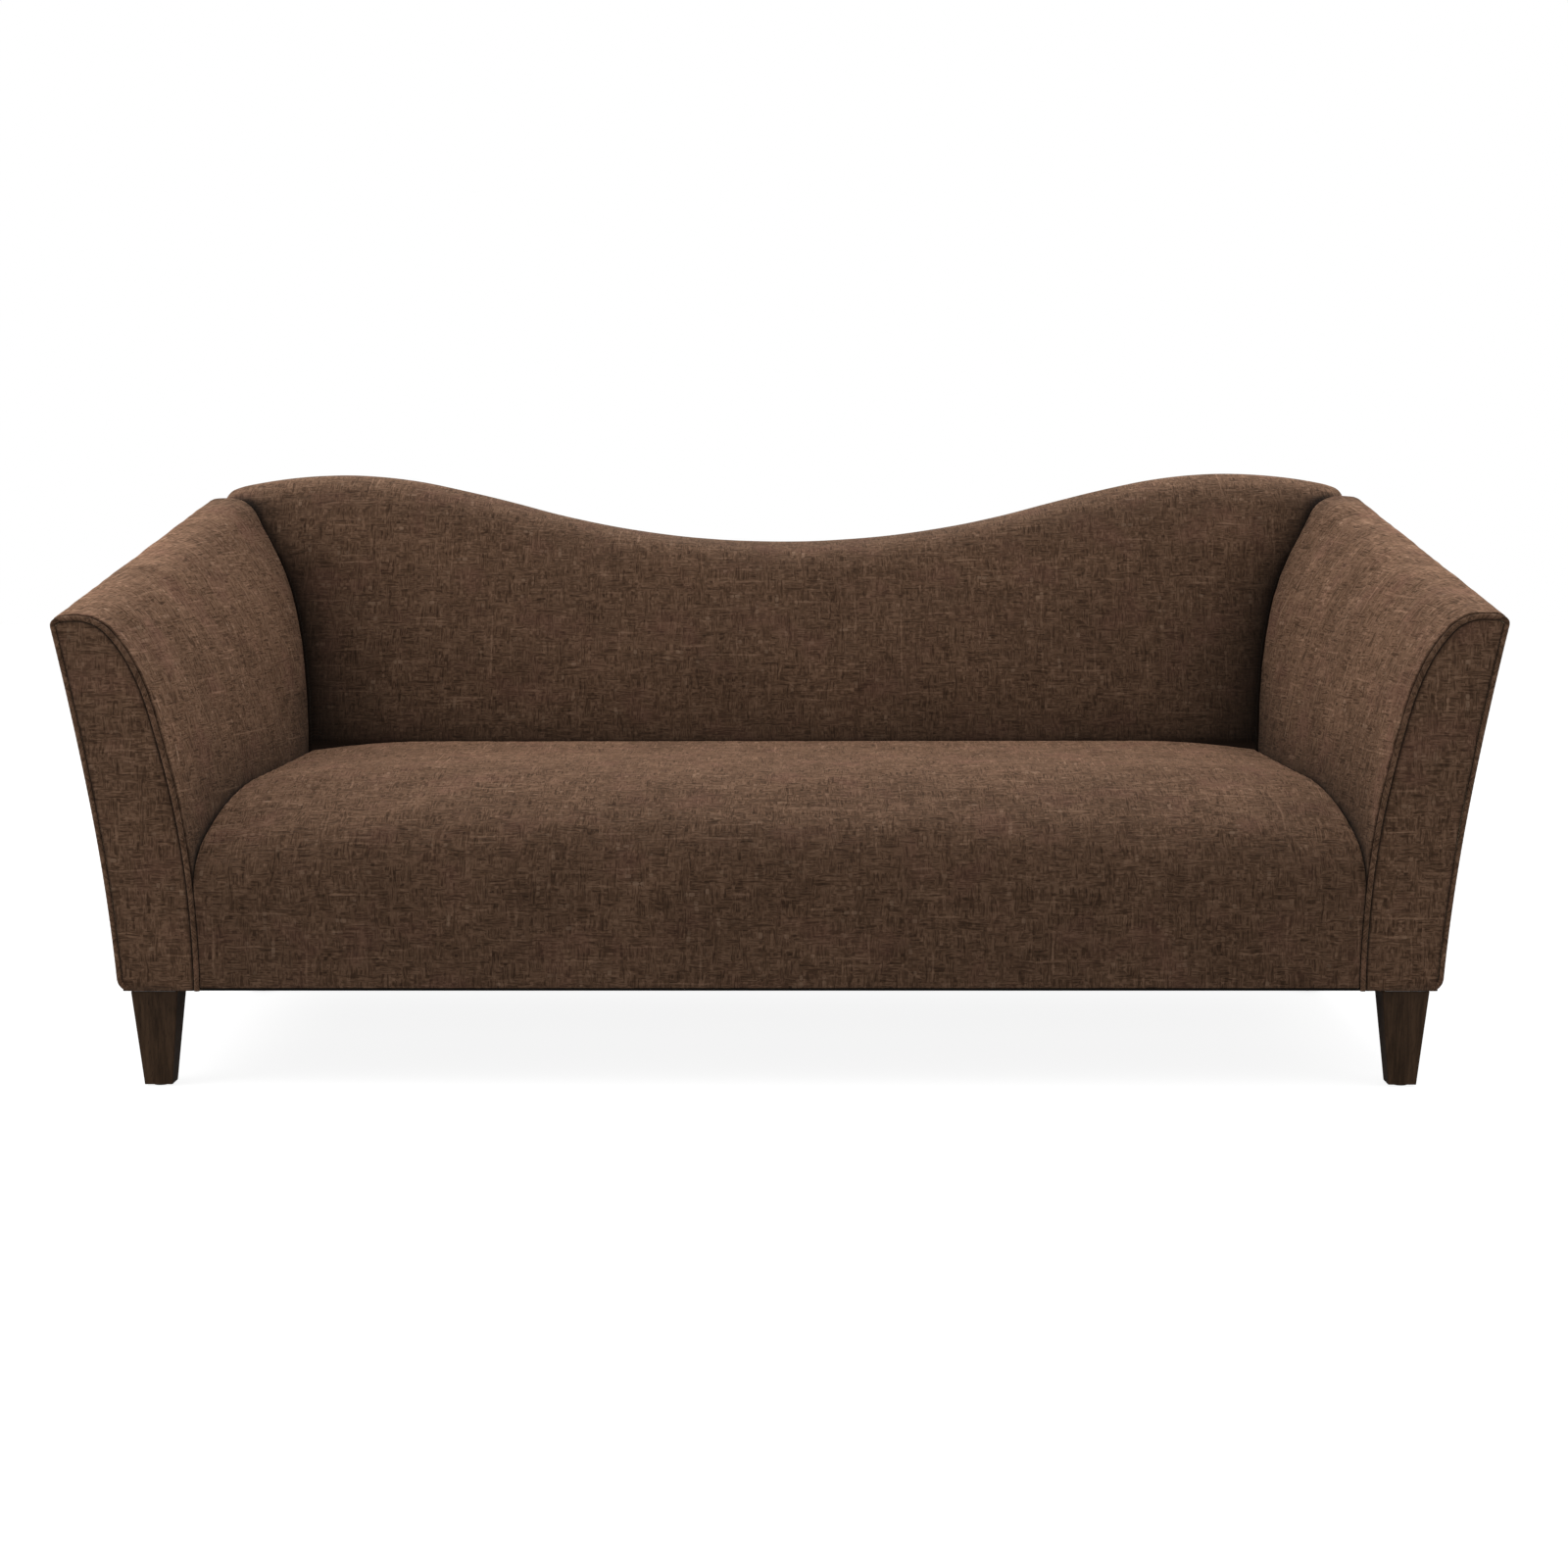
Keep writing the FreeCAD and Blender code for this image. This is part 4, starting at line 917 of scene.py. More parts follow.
# The back's section in Y and Z: up its face with a slight swell, over the roll of the top
# and down to the rear seam.
def backSection(x, low):
    top, shrink = backTop(x), endThinning(x)
    seatLine = sofa["seatHeight"] + sofa["gap"]
    frontHigh = top - back["frontRadius"]
    middle = (seatLine + frontHigh) / 2
    swell = back["crown"] * (1 - np.clip(np.abs(x) / back["crownHalf"], 0, 1) ** 4)
    rearZ = top - back["rearRadius"]
    nodes = gridNodes(
        x, (faceY(low) + shrink, low), (faceY(seatLine) + shrink, seatLine),
        (faceY(middle) - swell + shrink, middle), (faceY(frontHigh) + shrink, frontHigh),
        (rearY(top) - back["rearRadius"] - shrink, top), (rearY(rearZ) - shrink, rearZ))
    up = 90 - sofa["rake"]
    down = -90 - math.degrees(math.atan(sofa["rearSlope"]))
    angles = np.radians(np.array([up, up, up, up - back["easing"], 0, down]))
    return nodes, angles + np.zeros(nodes.shape[:-1])


# The shade painted on the back: beside the arm, over the seat, at the rear seam and on the
# roll of the top.
def backShade(x, y, z, toSeat, toRear):
    fromArm = armInnerX(np.minimum(y, back["armEnd"]), z) - np.abs(x)
    wide, thin = back["armShadeReach"]
    reach = wide + (thin - wide) * rise(z, *back["armShadeHeight"])
    ahead = rise(y, *back["armShadeEnd"])
    # Beyond the arm's end the back stands free again.
    ahead = ahead * (1 - back["freeShade"] * rise(-fromArm, *back["freeRun"]))
    seatShade = back["seatShade"] + fading(fromArm, *back["seatCorner"])
    dip = (crestTop - backTop(x)) / (crestTop - back["middleTop"])
    roll = (back["rollShade"] + back["dipShade"] * dip) * bell(toRear, *back["rollRun"])
    roll -= back["faceGlow"] * bell(toRear, *back["faceRun"])
    return together(ahead * fading(fromArm, back["armShade"], reach),
                    fading(toSeat, seatShade, back["seatShadeReach"]),
                    fading(toRear, *back["rearShade"]), roll)


# The back's sheet, made like the seat's: between the arms below, to the rounded ends above.
def makeBack():
    u, v = spread(2 * clustered(back["columns"], 0.010, 0.010) - 1,
                  clustered(back["rows"], 0.0, 0.008))
    wingFloor, freeing = back["wingFloor"], back["freeing"]
    x = u * back["crestX"]
    for turn in range(14):
        whole, y, z = atShare(*backSection(x, sofa["seatHeight"] - back["hidden"]), v)
        # The cloth tucks in behind the arms, and above them it reaches the rounded end.
        armX = armInnerX(np.minimum(y, back["armEnd"]),
                         np.minimum(z, wingFloor - back["armDrop"]))
        free = rise(z, wingFloor - freeing, wingFloor - 0.25 * freeing)
        free = np.maximum(free, 1.0 * (y > back["freeY"]))
        free = free * free * (3 - 2 * free)
        tucked = armX + back["tuck"]
        half = tucked + (sofa["backHalf"] - tucked) * free
        x = 0.5 * x + 0.5 * u * half
    points = np.stack([x, y, z], -1)
    # Each distance is made long where its seam isn't: above the arm, behind it, at the rear.
    toArm = armX - np.abs(x) + 2 * free
    toEnd = sofa["backHalf"] - np.abs(x) + 0.2 * (1 - free)
    toSeat = z - sofa["seatHeight"] + 2 * (y > back["armEnd"])
    toRear, run = (1 - v) * whole, v * whole
    calm = calmBy(back["calmRun"], toArm, toEnd, toRear, toSeat)
    calm = calm * calmBy(back["calmRear"], toRear) ** 2
    pull = seamPulls(np.abs(toArm), run, *back["armPulls"], 18)
    pull += seamPulls(toRear, x, *back["rearPulls"], 19)
    lift = slackWaves(x, run, *back["waves"], 15) * calm
    lift += pull * rise(toArm, 0, back["pullStart"])
    lift -= np.maximum(edgeRoll(toArm, back["edgeRadius"]), edgeRoll(toSeat, back["seatRadius"]))
    lift -= edgeRoll(toEnd, back["endRadius"]) + edgeRoll(toRear, back["seamRadius"])
    points = points + surfaceNormals(points) * lift[..., None]
    # Painted shade at the seams, and on the back by backShade.
    marks = {"seamShade": fadings(back, armSeam=toArm, seatSeam=toSeat, rearSeam=toRear),
             "corner": backShade(x, y, z, toSeat, toRear)}
    # Each end closes with a flat face that runs down to the arm.
    flat, shares = onCloth(x, run, 4.0), np.array(back["capShares"])
    floor, slides = wingFloor - 2 * sofa["thickness"], back["capSlide"] * shares
    first, firstFlat = closingRows(points[0], flat[0], floor, shares[::-1], slides[::-1])
    last, lastFlat = closingRows(points[-1], flat[-1], floor, shares, slides)
    points = np.concatenate([first, points, last])
    flat = np.concatenate([firstFlat, flat, lastFlat])
    marks = {title: np.pad(mark, ((len(first), len(last)), (0, 0))) for title, mark in marks.items()}
    piece = makeGrid("insideBackCover", points, flat, marks)
    dress(piece, backCloth, ["inside_back_cover", "back_foam"])


makeBack()


# The outside back is a flat panel whose top edge follows the back's own.
outsideBack = {
    "lowHalf": 0.9884,
    "highHalf": 0.9818,
    "topGap": 0.0383,
    "edgeRadius": 0.002,
    "columns": 190,
    "rows": 80,
    "billow": 0.0025,
    "wave": 0.35,
    "calmRun": 0.08,
    "sideSeam": (1, 0.003),
    "topSeam": (1, 0.003),
}


# A plane that leans like the rear, as wide and high as the back lets it be, slightly swollen.
def makeOutsideBack():
    u, v = spread(2 * clustered(outsideBack["columns"], 0.004, 0.004, 6) - 1,
                  clustered(outsideBack["rows"], 0.010, 0.010, 6))
    low, high = outsideBack["lowHalf"], outsideBack["highHalf"]
    leanLow = sofa["underside"] + arm["footRadius"]
    x = u * high
    for turn in range(6):
        z = sofa["underside"] + v * (backTop(x) - outsideBack["topGap"] - sofa["underside"])
        half = low + (high - low) * rise(z, leanLow, back["wingFloor"])
        x = u * half
    top = backTop(x) - outsideBack["topGap"]
    side, toTop, toHem = half - np.abs(x), top - z, z - sofa["underside"]
    depth = swelling(x, z, outsideBack["wave"], 25) * outsideBack["billow"]
    depth = depth * calmBy(outsideBack["calmRun"], side, toTop, toHem)
    for distance in (side, toTop, toHem):
        depth -= edgeRoll(distance, outsideBack["edgeRadius"])
    # Its upper corners lean in to meet the back's thinner ends.
    depth -= endThinning(x) * np.clip((z - back["wingFloor"]) / (top - back["wingFloor"]), 0, 1)
    points = np.stack([x, rearY(z) + depth, z], -1)
    # Painted shade at its side and top seams.
    marks = {"seamShade": fadings(outsideBack, sideSeam=side, topSeam=toTop)}
    piece = makeGrid("outsideBackCover", points, onCloth(x, z, 8.0), marks, turned=True)
    dress(piece, backCloth, ["outside_back_cover"])


makeOutsideBack()


# Covers of the arms
def sideName(side, rest):
    return ("right" if side > 0 else "left") + rest


# A piece of the right arm or, by its mirror image, of the left one.
def makeArmGrid(side, title, points, flat, marks, keep=None, turned=1, closed=False):
    points = points * np.array([side, 1, 1])
    return makeGrid(sideName(side, title), points, flat, marks, keep, side == turned, closed)


armCovers = {
    "front": -0.4367,           # where both covers start behind the welt
    "billow": 0.0011,
    "calmRun": 0.05,
    "frontSeam": (1, 0.0015),
    "topSeam": (0.6, 0.0015),
}

insideArm = {
    **armCovers,
    "columns": 130,
    "rows": 110,
    "firstRun": 0.65,           # first guess of its run to the back
    "frontRadius": 0.0035,
    "creaseRadius": 0.009,
    "cornerRadius": 0.002,
    "waves": (armCovers["billow"], 0.15, 0.05, 0.2),
    "frontPulls": (0.0006, 0.020, 0.035, 1.2, 0.2),
    "rearPulls": (0.0002, 0.025, 0.043, 1.2, 0.2),
    # Painted shade at the seams, beside the back and above the seat.
    "backSeam": (1, 0.0025),
    "seatSeam": (1, 0.0035),
    "backShade": (0.66, 0.090),
    "seatShade": (0.50, 0.040),
    "wideShade": (0.51, 0.13),
    "shadeTop": 0.80,           # the back's shade weakens towards this height, over this fall,
    "shadeFall": 0.25,          # but not below its least share
    "shadeLeast": 0.72,
    "capShares": (0.1, 0.5, 1.0),
    "capSlides": (0.01, 0.02, 0.03),
    "capDrop": 0.01,            # the closed end reaches this far below the wing floor
    "wholeEnd": -0.412,         # in front of here it goes down to the underside,
    "low": 0.2906,              # and behind it to this height
}


# The arm's section from its foot over the crown to the corner, at places along Y as far as
# the face of the back, moved along its normals like the seat.
def makeInsideArm(side):
    u, v = spread(clustered(insideArm["columns"], 0.012, 0.022),
                  clustered(insideArm["rows"], 0.0, 0.006, 6))
    start = insideArm["front"]
    y = start + u * insideArm["firstRun"]
    for turn in range(8):
        whole, x, z = atShare(*armPart(y, 0, 5), v)
        rear = faceY(z) - sofa["gap"]
        y = start + u * (rear - start)
    points = np.stack([x, y, z], -1)
    toFront, toRear, toCorner, run = y - start, rear - y, (1 - v) * whole, v * whole
    calm = calmBy(insideArm["calmRun"], toFront, toRear, toCorner)
    seed = 40 - 5 * side
    lift = slackWaves(y, run, *insideArm["waves"], seed, calm)
    lift += seamPulls(toFront, run, *insideArm["frontPulls"], seed + 2)
    lift += seamPulls(toRear, run, *insideArm["rearPulls"], seed + 3)
    lift -= np.maximum(edgeRoll(toFront, insideArm["frontRadius"]),
                       edgeRoll(toRear, insideArm["creaseRadius"]))
    lift -= edgeRoll(toCorner, insideArm["cornerRadius"])
    points = points - surfaceNormals(points) * lift[..., None]
    aboveSeat = z - seatEdge(y)
    # Painted shade at the seams, and beside the back and above the seat.
    seamShade = fadings(insideArm, frontSeam=toFront, backSeam=toRear, topSeam=toCorner,
                     seatSeam=aboveSeat)
    weaker = np.clip((insideArm["shadeTop"] - z) / insideArm["shadeFall"],
                     insideArm["shadeLeast"], 1)
    corner = together(weaker * fadings(insideArm, backShade=toRear),
                      fadings(insideArm, seatShade=aboveSeat),
                      fadings(insideArm, wideShade=aboveSeat))
    # The rear end closes against the back.
    flat = onCloth(y, run, 12.0 + side)
    caps, capFlat = closingRows(points[-1], flat[-1], back["wingFloor"] - insideArm["capDrop"],
                                insideArm["capShares"], insideArm["capSlides"])
    caps[..., 1] = np.minimum(caps[..., 1], faceY(caps[..., 2]) - sofa["gap"])
    points, flat = np.concatenate([points, caps]), np.concatenate([flat, capFlat])
    marks = {"seamShade": seamShade, "corner": corner}
    marks = {title: np.pad(mark, ((0, len(caps)), (0, 0))) for title, mark in marks.items()}
    middle = (points[:-1, :-1] + points[1:, 1:]) / 2
    keep = (middle[..., 1] < insideArm["wholeEnd"]) | (middle[..., 2] > insideArm["low"])
    piece = makeArmGrid(side, "InsideArmCover", points, flat, marks, keep)
    dress(piece, armCloth,
          [sideName(side, "_inside_arm_cover"), sideName(side, "_arm_foam")])


# Distance along a falling chain at which it reaches this height, by six Newton steps.
def distanceAt(nodes, angles, height, guess):
    distance = guess
    for turn in range(6):
        point, way = alongChain(nodes, angles, distance[..., None])
        distance = distance - (point[..., 0, 1] - height) / np.minimum(np.sin(way[..., 0]), -0.3)
        distance = np.maximum(distance, 0)
    return distance


outsideArm = {
    **armCovers,
    "columns": (100, 28),       # up to the step and behind it
    "rows": (12, 90),           # down the upper band and below it
    "band": 0.040,              # upper band of the cover
    "stepRise": 0.030,          # where it steps down behind the face of the back
    "fold": 0.035,              # how far it folds in under the back's rounded end
    "turnIn": 0.012,            # and round the rear corner
    "frontRadius": 0.0021,
    "edgeRadius": 0.002,
    "wave": 0.22,
    "rearSeam": (1, 0.003),
}


# The cover from the corner of the arm down its outer side. u counts to 1 up to the step and to
# 2 up to the rear, v to 1 down the upper band and to 2 down to the hem.
def makeOutsideArm(side):
    start, step = outsideArm["front"], faceY(back["wingFloor"] + outsideArm["stepRise"])
    (ahead, behind), (bandRows, lowRows) = outsideArm["columns"], outsideArm["rows"]
    upper, lower = clustered(bandRows, 0.12, 0.0, 5), clustered(lowRows, 0.010, 0.020, 8)
    share = [clustered(ahead, 0.010, 0.0, 6), 1 + clustered(behind, 0.03, 0.05, 6)[1:]]
    u, v = spread(np.concatenate(share), np.concatenate([upper, 1 + lower[1:]]))
    y = start + np.clip(u, 0, 1) * (step - start)
    for turn in range(5):
        nodes, angles = armPart(y, 5, 7)
        whole = chainLength(nodes, angles)
        split = distanceAt(nodes, angles, back["wingFloor"] - sofa["gap"],
                           0 * y + outsideArm["band"])
        # Behind the step the band ends under the wing floor, in front at its own width.
        bandEnd = np.where(u <= 1, np.minimum(split, outsideArm["band"]), split)
        distance = np.where(v <= 1, v * bandEnd, bandEnd + (v - 1) * (whole - bandEnd))
        point = alongChain(nodes, angles, distance[..., None])[0]
        x, z = point[..., 0, 0], point[..., 0, 1]
        rear = rearY(z)
        y = np.where(u <= 1, start + u * (step - start), step + (u - 1) * (rear - step))
    # Behind the step the upper band folds in under the back's rounded end.
    folded, edge = (u > 1) & (v < 1), len(upper) - 1
    x = np.where(folded, x[:, edge:edge + 1] - (1 - v) * outsideArm["fold"], x)
    z = np.where(folded, z[:, edge:edge + 1], z)
    points = np.stack([x, y, z], -1)
    toFront, toRear, toHem = y - start, rear - y, whole - distance
    toTop = np.where(u > 1, np.maximum(distance - bandEnd, 0), distance)
    lift = 2 * outsideArm["billow"] * swelling(y, distance, outsideArm["wave"], 60 - 5 * side)
    lift = lift * calmBy(outsideArm["calmRun"], toFront, toRear, toTop, toHem)
    lift -= edgeRoll(toFront, outsideArm["frontRadius"])
    lift -= edgeRoll(toRear, outsideArm["edgeRadius"]) + edgeRoll(toTop, outsideArm["edgeRadius"])
    lift = np.where(folded, 0, lift)
    points = points - surfaceNormals(points) * lift[..., None]
    # Painted shade at the seams; the band folded in under the back's end is painted as dark as a
    # seam.
    seamShade = fadings(outsideArm, frontSeam=toFront, topSeam=toTop, rearSeam=toRear)
    seamShade = np.where((u > 1) & (v <= 1), 1, seamShade)
    flat = onCloth(y, distance, 16.0 + side)
    # The cloth turns in round the rear corner, under the outside back.
    turnedIn = points[-1:] - np.array([outsideArm["turnIn"], 1.5 * sofa["thickness"], 0])
    points = np.concatenate([points, turnedIn])
    seamShade = np.concatenate([seamShade, seamShade[-1:]])
    flat = np.concatenate([flat, flat[-1:] + np.array([outsideArm["turnIn"], 0])])
    piece = makeArmGrid(side, "OutsideArmCover", points, flat, {"seamShade": seamShade})
    dress(piece, armCloth, [sideName(side, "_outside_arm_cover")])


frontPanel = {
    "inset": 0.0083,
    "face": -0.4437,
    "swell": 0.0030,
    "edgeRadius": 0.0030,
    "wall": 0.003,
    "length": 0.60,             # about, up its middle
    "waves": (0.0006, 0.12),
    "edgeSeam": (1.4, 0.0022),
    "lowSeam": (0.4, 0.002),
    "rows": 90,
    "columns": 34,
}


# Points at shares of a chain of the arm's front section, moved to its inner side.
def insetChain(first, last, share, amount):
    nodes, angles = armPart(sofa["front"], first, last)
    point, way = alongChain(nodes[None], angles[None], share[None] * chainLength(nodes, angles))
    return (point + amount * np.stack([np.sin(way), -np.cos(way)], -1))[0]


# The front panel is a strip between its inner and its outer edge, with rolled edges and a
# slight swell: the face stands proud by a half sine wave across times the root of one up.
def makeFrontPanel(side):
    t = clustered(frontPanel["rows"], 0.008, 0.012, 6)
    w = clustered(frontPanel["columns"], 0.05, 0.05, 6)
    inner = insetChain(0, 4, t, frontPanel["inset"])
    outer = insetChain(5, 6, 1 - t, frontPanel["inset"])
    outer[0, 1] = sofa["underside"]
    strip = inner[:, None] + (outer - inner)[:, None] * w[None, :, None]
    x, z = strip[..., 0], strip[..., 1]
    width = np.linalg.norm(outer - inner, axis=-1)[:, None]
    toInner, toOuter = w[None] * width, (1 - w)[None] * width
    toLow, toTop = z - sofa["underside"], (1 - t)[:, None] * frontPanel["length"]
    depth = 0 * x
    for distance in (toInner, toOuter, toLow, toTop):
        depth = depth + edgeRoll(distance, frontPanel["edgeRadius"])
    depth -= frontPanel["swell"] * np.sin(np.pi * w)[None] * np.clip(
        np.sin(np.pi * t), 0, 1)[:, None] ** 0.5
    height, wave = frontPanel["waves"]
    depth -= unevenness(x, z, wave, 80 - 5 * side) * height
    points = np.stack([x, frontPanel["face"] + depth, z], -1)
    # Painted shade along the panel's edges and at its foot.
    seamShade = fadings(frontPanel, edgeSeam=np.minimum(toInner, toOuter), lowSeam=toLow)
    piece = makeArmGrid(side, "ArmFrontPanel", points, onCloth(x * side, z, 20.0),
                        {"seamShade": seamShade})
    dress(piece, panelCloth, [sideName(side, "_arm_front_panel")],
          frontPanel["wall"])


welt = {
    "radius": 0.0040,
    "rings": 520,
    "sides": 14,
    "ripple": 0.00008,
    "rippleLength": 0.009,
    "flankShade": 0.45,
}


# A cord of cloth: circles of the welt's radius square to the edge of the front panel.
def makeWelt(side):
    point, way, distance = chainTable(*armPart(sofa["front"], 0, 7), welt["rings"])
    inward = np.stack([np.sin(way), -np.cos(way)], -1)
    centre = point + inward * welt["radius"]
    turn = np.linspace(0, 2 * np.pi, welt["sides"], endpoint=False)[None]
    radius = welt["radius"] + welt["ripple"] * np.sin(
        distance * 2 * np.pi / welt["rippleLength"])[:, None]
    across, ahead = radius * np.cos(turn), radius * np.sin(turn)
    rings = np.stack([centre[:, None, 0] + across * inward[:, None, 0],
                      sofa["front"] + welt["radius"] + ahead,
                      centre[:, None, 1] + across * inward[:, None, 1]], -1)
    # Flat caps close both ends.
    first, last = (0 * rings[:1] + rings[k].mean(0) for k in (0, -1))
    rings = np.concatenate([first, rings, last])
    around = welt["radius"] * turn + 0 * rings[..., 0]
    run = np.concatenate([distance[:1], distance, distance[-1:]])[:, None] + 0 * around
    # Painted shade: the cord is darkest where it meets the panel and the arm, a quarter turn off
    # its front.
    seamShade = welt["flankShade"] * np.abs(np.cos(turn)) ** 3 + 0 * around
    piece = makeArmGrid(side, "ArmWelt", rings, onCloth(run, around, 24.0, 5.0),
                        {"seamShade": seamShade}, turned=-1, closed=True)
    reworkMesh(piece.data, joinDoubles)
    dress(piece, weltCloth, [sideName(side, "_arm_welt")], 0)


for side in (1, -1):
    makeInsideArm(side)
    makeOutsideArm(side)
    makeFrontPanel(side)
    makeWelt(side)

# Cloth under the frame
dustCover = {
    "half": 0.971,
    "front": -0.4352,
    "rear": 0.418,
    "height": 0.1495,
    "legX": 0.938,
    "legY": (-0.399, 0.385),
    "notchX": 0.037,
    "notchY": 0.034,
    "bay": 0.64,                # from one stretcher of the frame to the next
    "sag": 0.004,
    "sagShape": (0.7, 0.6),     # powers of its run across a bay and from front to rear
    "wrinkles": (0.0004, 0.09),
    "columns": 121,
    "rows": 61,
    "wall": 0.0008,
    "dark": (0.010, 0.010, 0.011, 1),
    "pale": (0.045, 0.044, 0.046, 1),
    "speckScale": 700.0,
    "dimpleScale": 420.0,
    "dimpleEdge": (0.15, 0.45),
    "bump": 0.5,
    "relief": 0.0004,
}


def makeDustCover():
    # A sheet that hangs a little between the boards, notched round the legs: its sag is a
    # half sine wave across each bay, weaker towards the front and the rear.
    half, front, rear = dustCover["half"], dustCover["front"], dustCover["rear"]
    notchX, notchY = dustCover["notchX"], dustCover["notchY"]
    xs = [np.linspace(-half, half, dustCover["columns"])]
    ys = [np.linspace(front, rear, dustCover["rows"])]
    for legX in (-dustCover["legX"], dustCover["legX"]):
        xs.append([legX - notchX, legX + notchX])
    for legY in dustCover["legY"]:
        ys.append([legY - notchY, legY + notchY])
    xs, ys = np.unique(np.concatenate(xs)), np.unique(np.concatenate(ys))
    x, y = spread(xs, ys)
    middleX, middleY = spread((xs[1:] + xs[:-1]) / 2, (ys[1:] + ys[:-1]) / 2)
    keep = np.ones(middleX.shape, bool)
    for legY in dustCover["legY"]:
        keep &= ~((np.abs(np.abs(middleX) - dustCover["legX"]) < notchX)
                  & (np.abs(middleY - legY) < notchY))
    bay = np.abs(np.sin(np.pi * (x / dustCover["bay"] + 0.5)))
    share = np.clip((y - front) * (rear - y) / ((rear - front) / 2) ** 2, 0, 1)
    (across, along), (wrinkle, wave) = dustCover["sagShape"], dustCover["wrinkles"]
    z = dustCover["height"] - dustCover["sag"] * bay ** across * share ** along
    z = z - wrinkle * unevenness(x, y, wave, 95) * share
    piece = makeGrid("dustCover", np.stack([x, y, z], -1), onCloth(x, y, 3.0), keep=keep,
                     turned=True)
    dress(piece, dustCloth, ["dust_cover"], wall=dustCover["wall"])


# Specks between a dark and a pale tone, with small dimples at random places.
def dustMaterial():
    material, tree, shader = newMaterial("dustCloth", {"Roughness": 0.85,
                                                       "Specular IOR Level": 0.25})
    place = objectPlace(tree)
    fine, coarse = useGroup(tree, speck, Place=place, Scale=dustCover["speckScale"])
    dots = addNode(tree, "ShaderNodeTexVoronoi", {"Vector": place,
                                                  "Scale": dustCover["dimpleScale"]})
    dimple = smooth(Flow(dots, "Distance"), *dustCover["dimpleEdge"])
    colour = blendColour(fine * coarse, dustCover["dark"], dustCover["pale"])
    feed(shader.inputs["Base Color"], colour)
    raised(shader, dimple + fine, dustCover["bump"], dustCover["relief"])
    return material


dustCloth = dustMaterial()
makeDustCover()


# Finishes of the solids

# Wood from dark to light by its bands and streaks, with darker pores. turn lays the grain
# along another axis.
def woodMaterial(name, dark, light, constants, relief=0.0002, turn=None):
    material, tree, shader = newMaterial(name, constants)
    place = objectPlace(tree)
    if turn:
        place = Flow(addNode(tree, "ShaderNodeMapping", {"Vector": place, "Rotation": turn}))
    tone, pores, bands = useGroup(tree, woodGrain, Place=place)
    share = smooth(bands * wood["bandShare"] + tone * wood["streakShare"], *wood["lightNoise"])
    colour = blendColour(share, dark, light)
    poreColour = tuple(wood["poreTone"] * part for part in dark[:3]) + (1,)
    colour = blendColour(pores * wood["poreShare"], colour, poreColour)
    feed(shader.inputs["Base Color"], colour)
    roughLow = constants["Roughness"] - wood["roughSpan"] / 2
    feed(shader.inputs["Roughness"], tone * wood["roughSpan"] + roughLow)
    raised(shader, tone - pores * wood["poreDepth"], wood["bump"], relief)
    return material


# A finish mottled between two colours at a scale, with a relief of the same specks.
def speckMaterial(name, low, high, scale, constants, relief):
    material, tree, shader = newMaterial(name, constants)
    fine, coarse = useGroup(tree, speck, Place=objectPlace(tree), Scale=scale)
    share = smooth(fine * specks["fineShare"] + coarse * specks["coarseShare"],
                   *specks["lightNoise"])
    feed(shader.inputs["Base Color"], blendColour(share, low, high))
    raised(shader, fine, specks["bump"], relief)
    return material


finishes = {
    "leg_wood": woodMaterial("legWood", (0.0200, 0.0112, 0.0062, 1), (0.060, 0.0340, 0.0190, 1),
                             {"Roughness": 0.52, "Coat Weight": 0.02, "Coat Roughness": 0.35,
                              "Specular IOR Level": 0.08}),
    "frame_wood": woodMaterial("frameWood", (0.42, 0.29, 0.17, 1), (0.68, 0.52, 0.34, 1),
                               {"Roughness": 0.7}, 0.0003, (0, math.pi / 2, 0)),
    "glide": speckMaterial("glideNylon", (0.020, 0.020, 0.020, 1), (0.045, 0.045, 0.045, 1),
                           900.0, {"Roughness": 0.55}, 0.00005),
    "steel": speckMaterial("platedSteel", (0.24, 0.24, 0.25, 1), (0.38, 0.38, 0.39, 1), 600.0,
                           {"Roughness": 0.55, "Metallic": 1.0}, 0.00003),
    "webbing": speckMaterial("webbing", (0.20, 0.14, 0.085, 1), (0.38, 0.29, 0.19, 1), 500.0,
                             {"Roughness": 0.85}, 0.0004),
    "felt": speckMaterial("felt", (0.34, 0.32, 0.30, 1), (0.52, 0.50, 0.47, 1), 380.0,
                          {"Roughness": 0.95}, 0.0006),
    "fibreboard": speckMaterial("fibreboard", (0.30, 0.20, 0.12, 1), (0.46, 0.33, 0.21, 1),
                                260.0, {"Roughness": 0.8}, 0.0002),
}
slotOf = {row["node"]: row["material_slot"] for row in frame["record"]["subparts"]}
for name, node in frame["nodes"].items():
    if slotOf[name] in finishes and not node.hide_render:
        node.data.materials.clear()
        node.data.materials.append(finishes[slotOf[name]])
print("solids finished")

# Floor, light and camera
studio = {
    "floorTone": 0.32,
    "floorGlow": 0.86,          # light on it that only the camera sees
    "floorReach": 14.0,
    "worldLight": 0.50,
    "cameraPlace": (0.052, -4.458, 0.892),
    "cameraPitch": 6.12,        # degrees, as the two below
    "cameraTurn": 0.605,
    "cameraRoll": 0.11,
    "focalPixels": 2782.0,
    "framePixels": 1600.0,
}


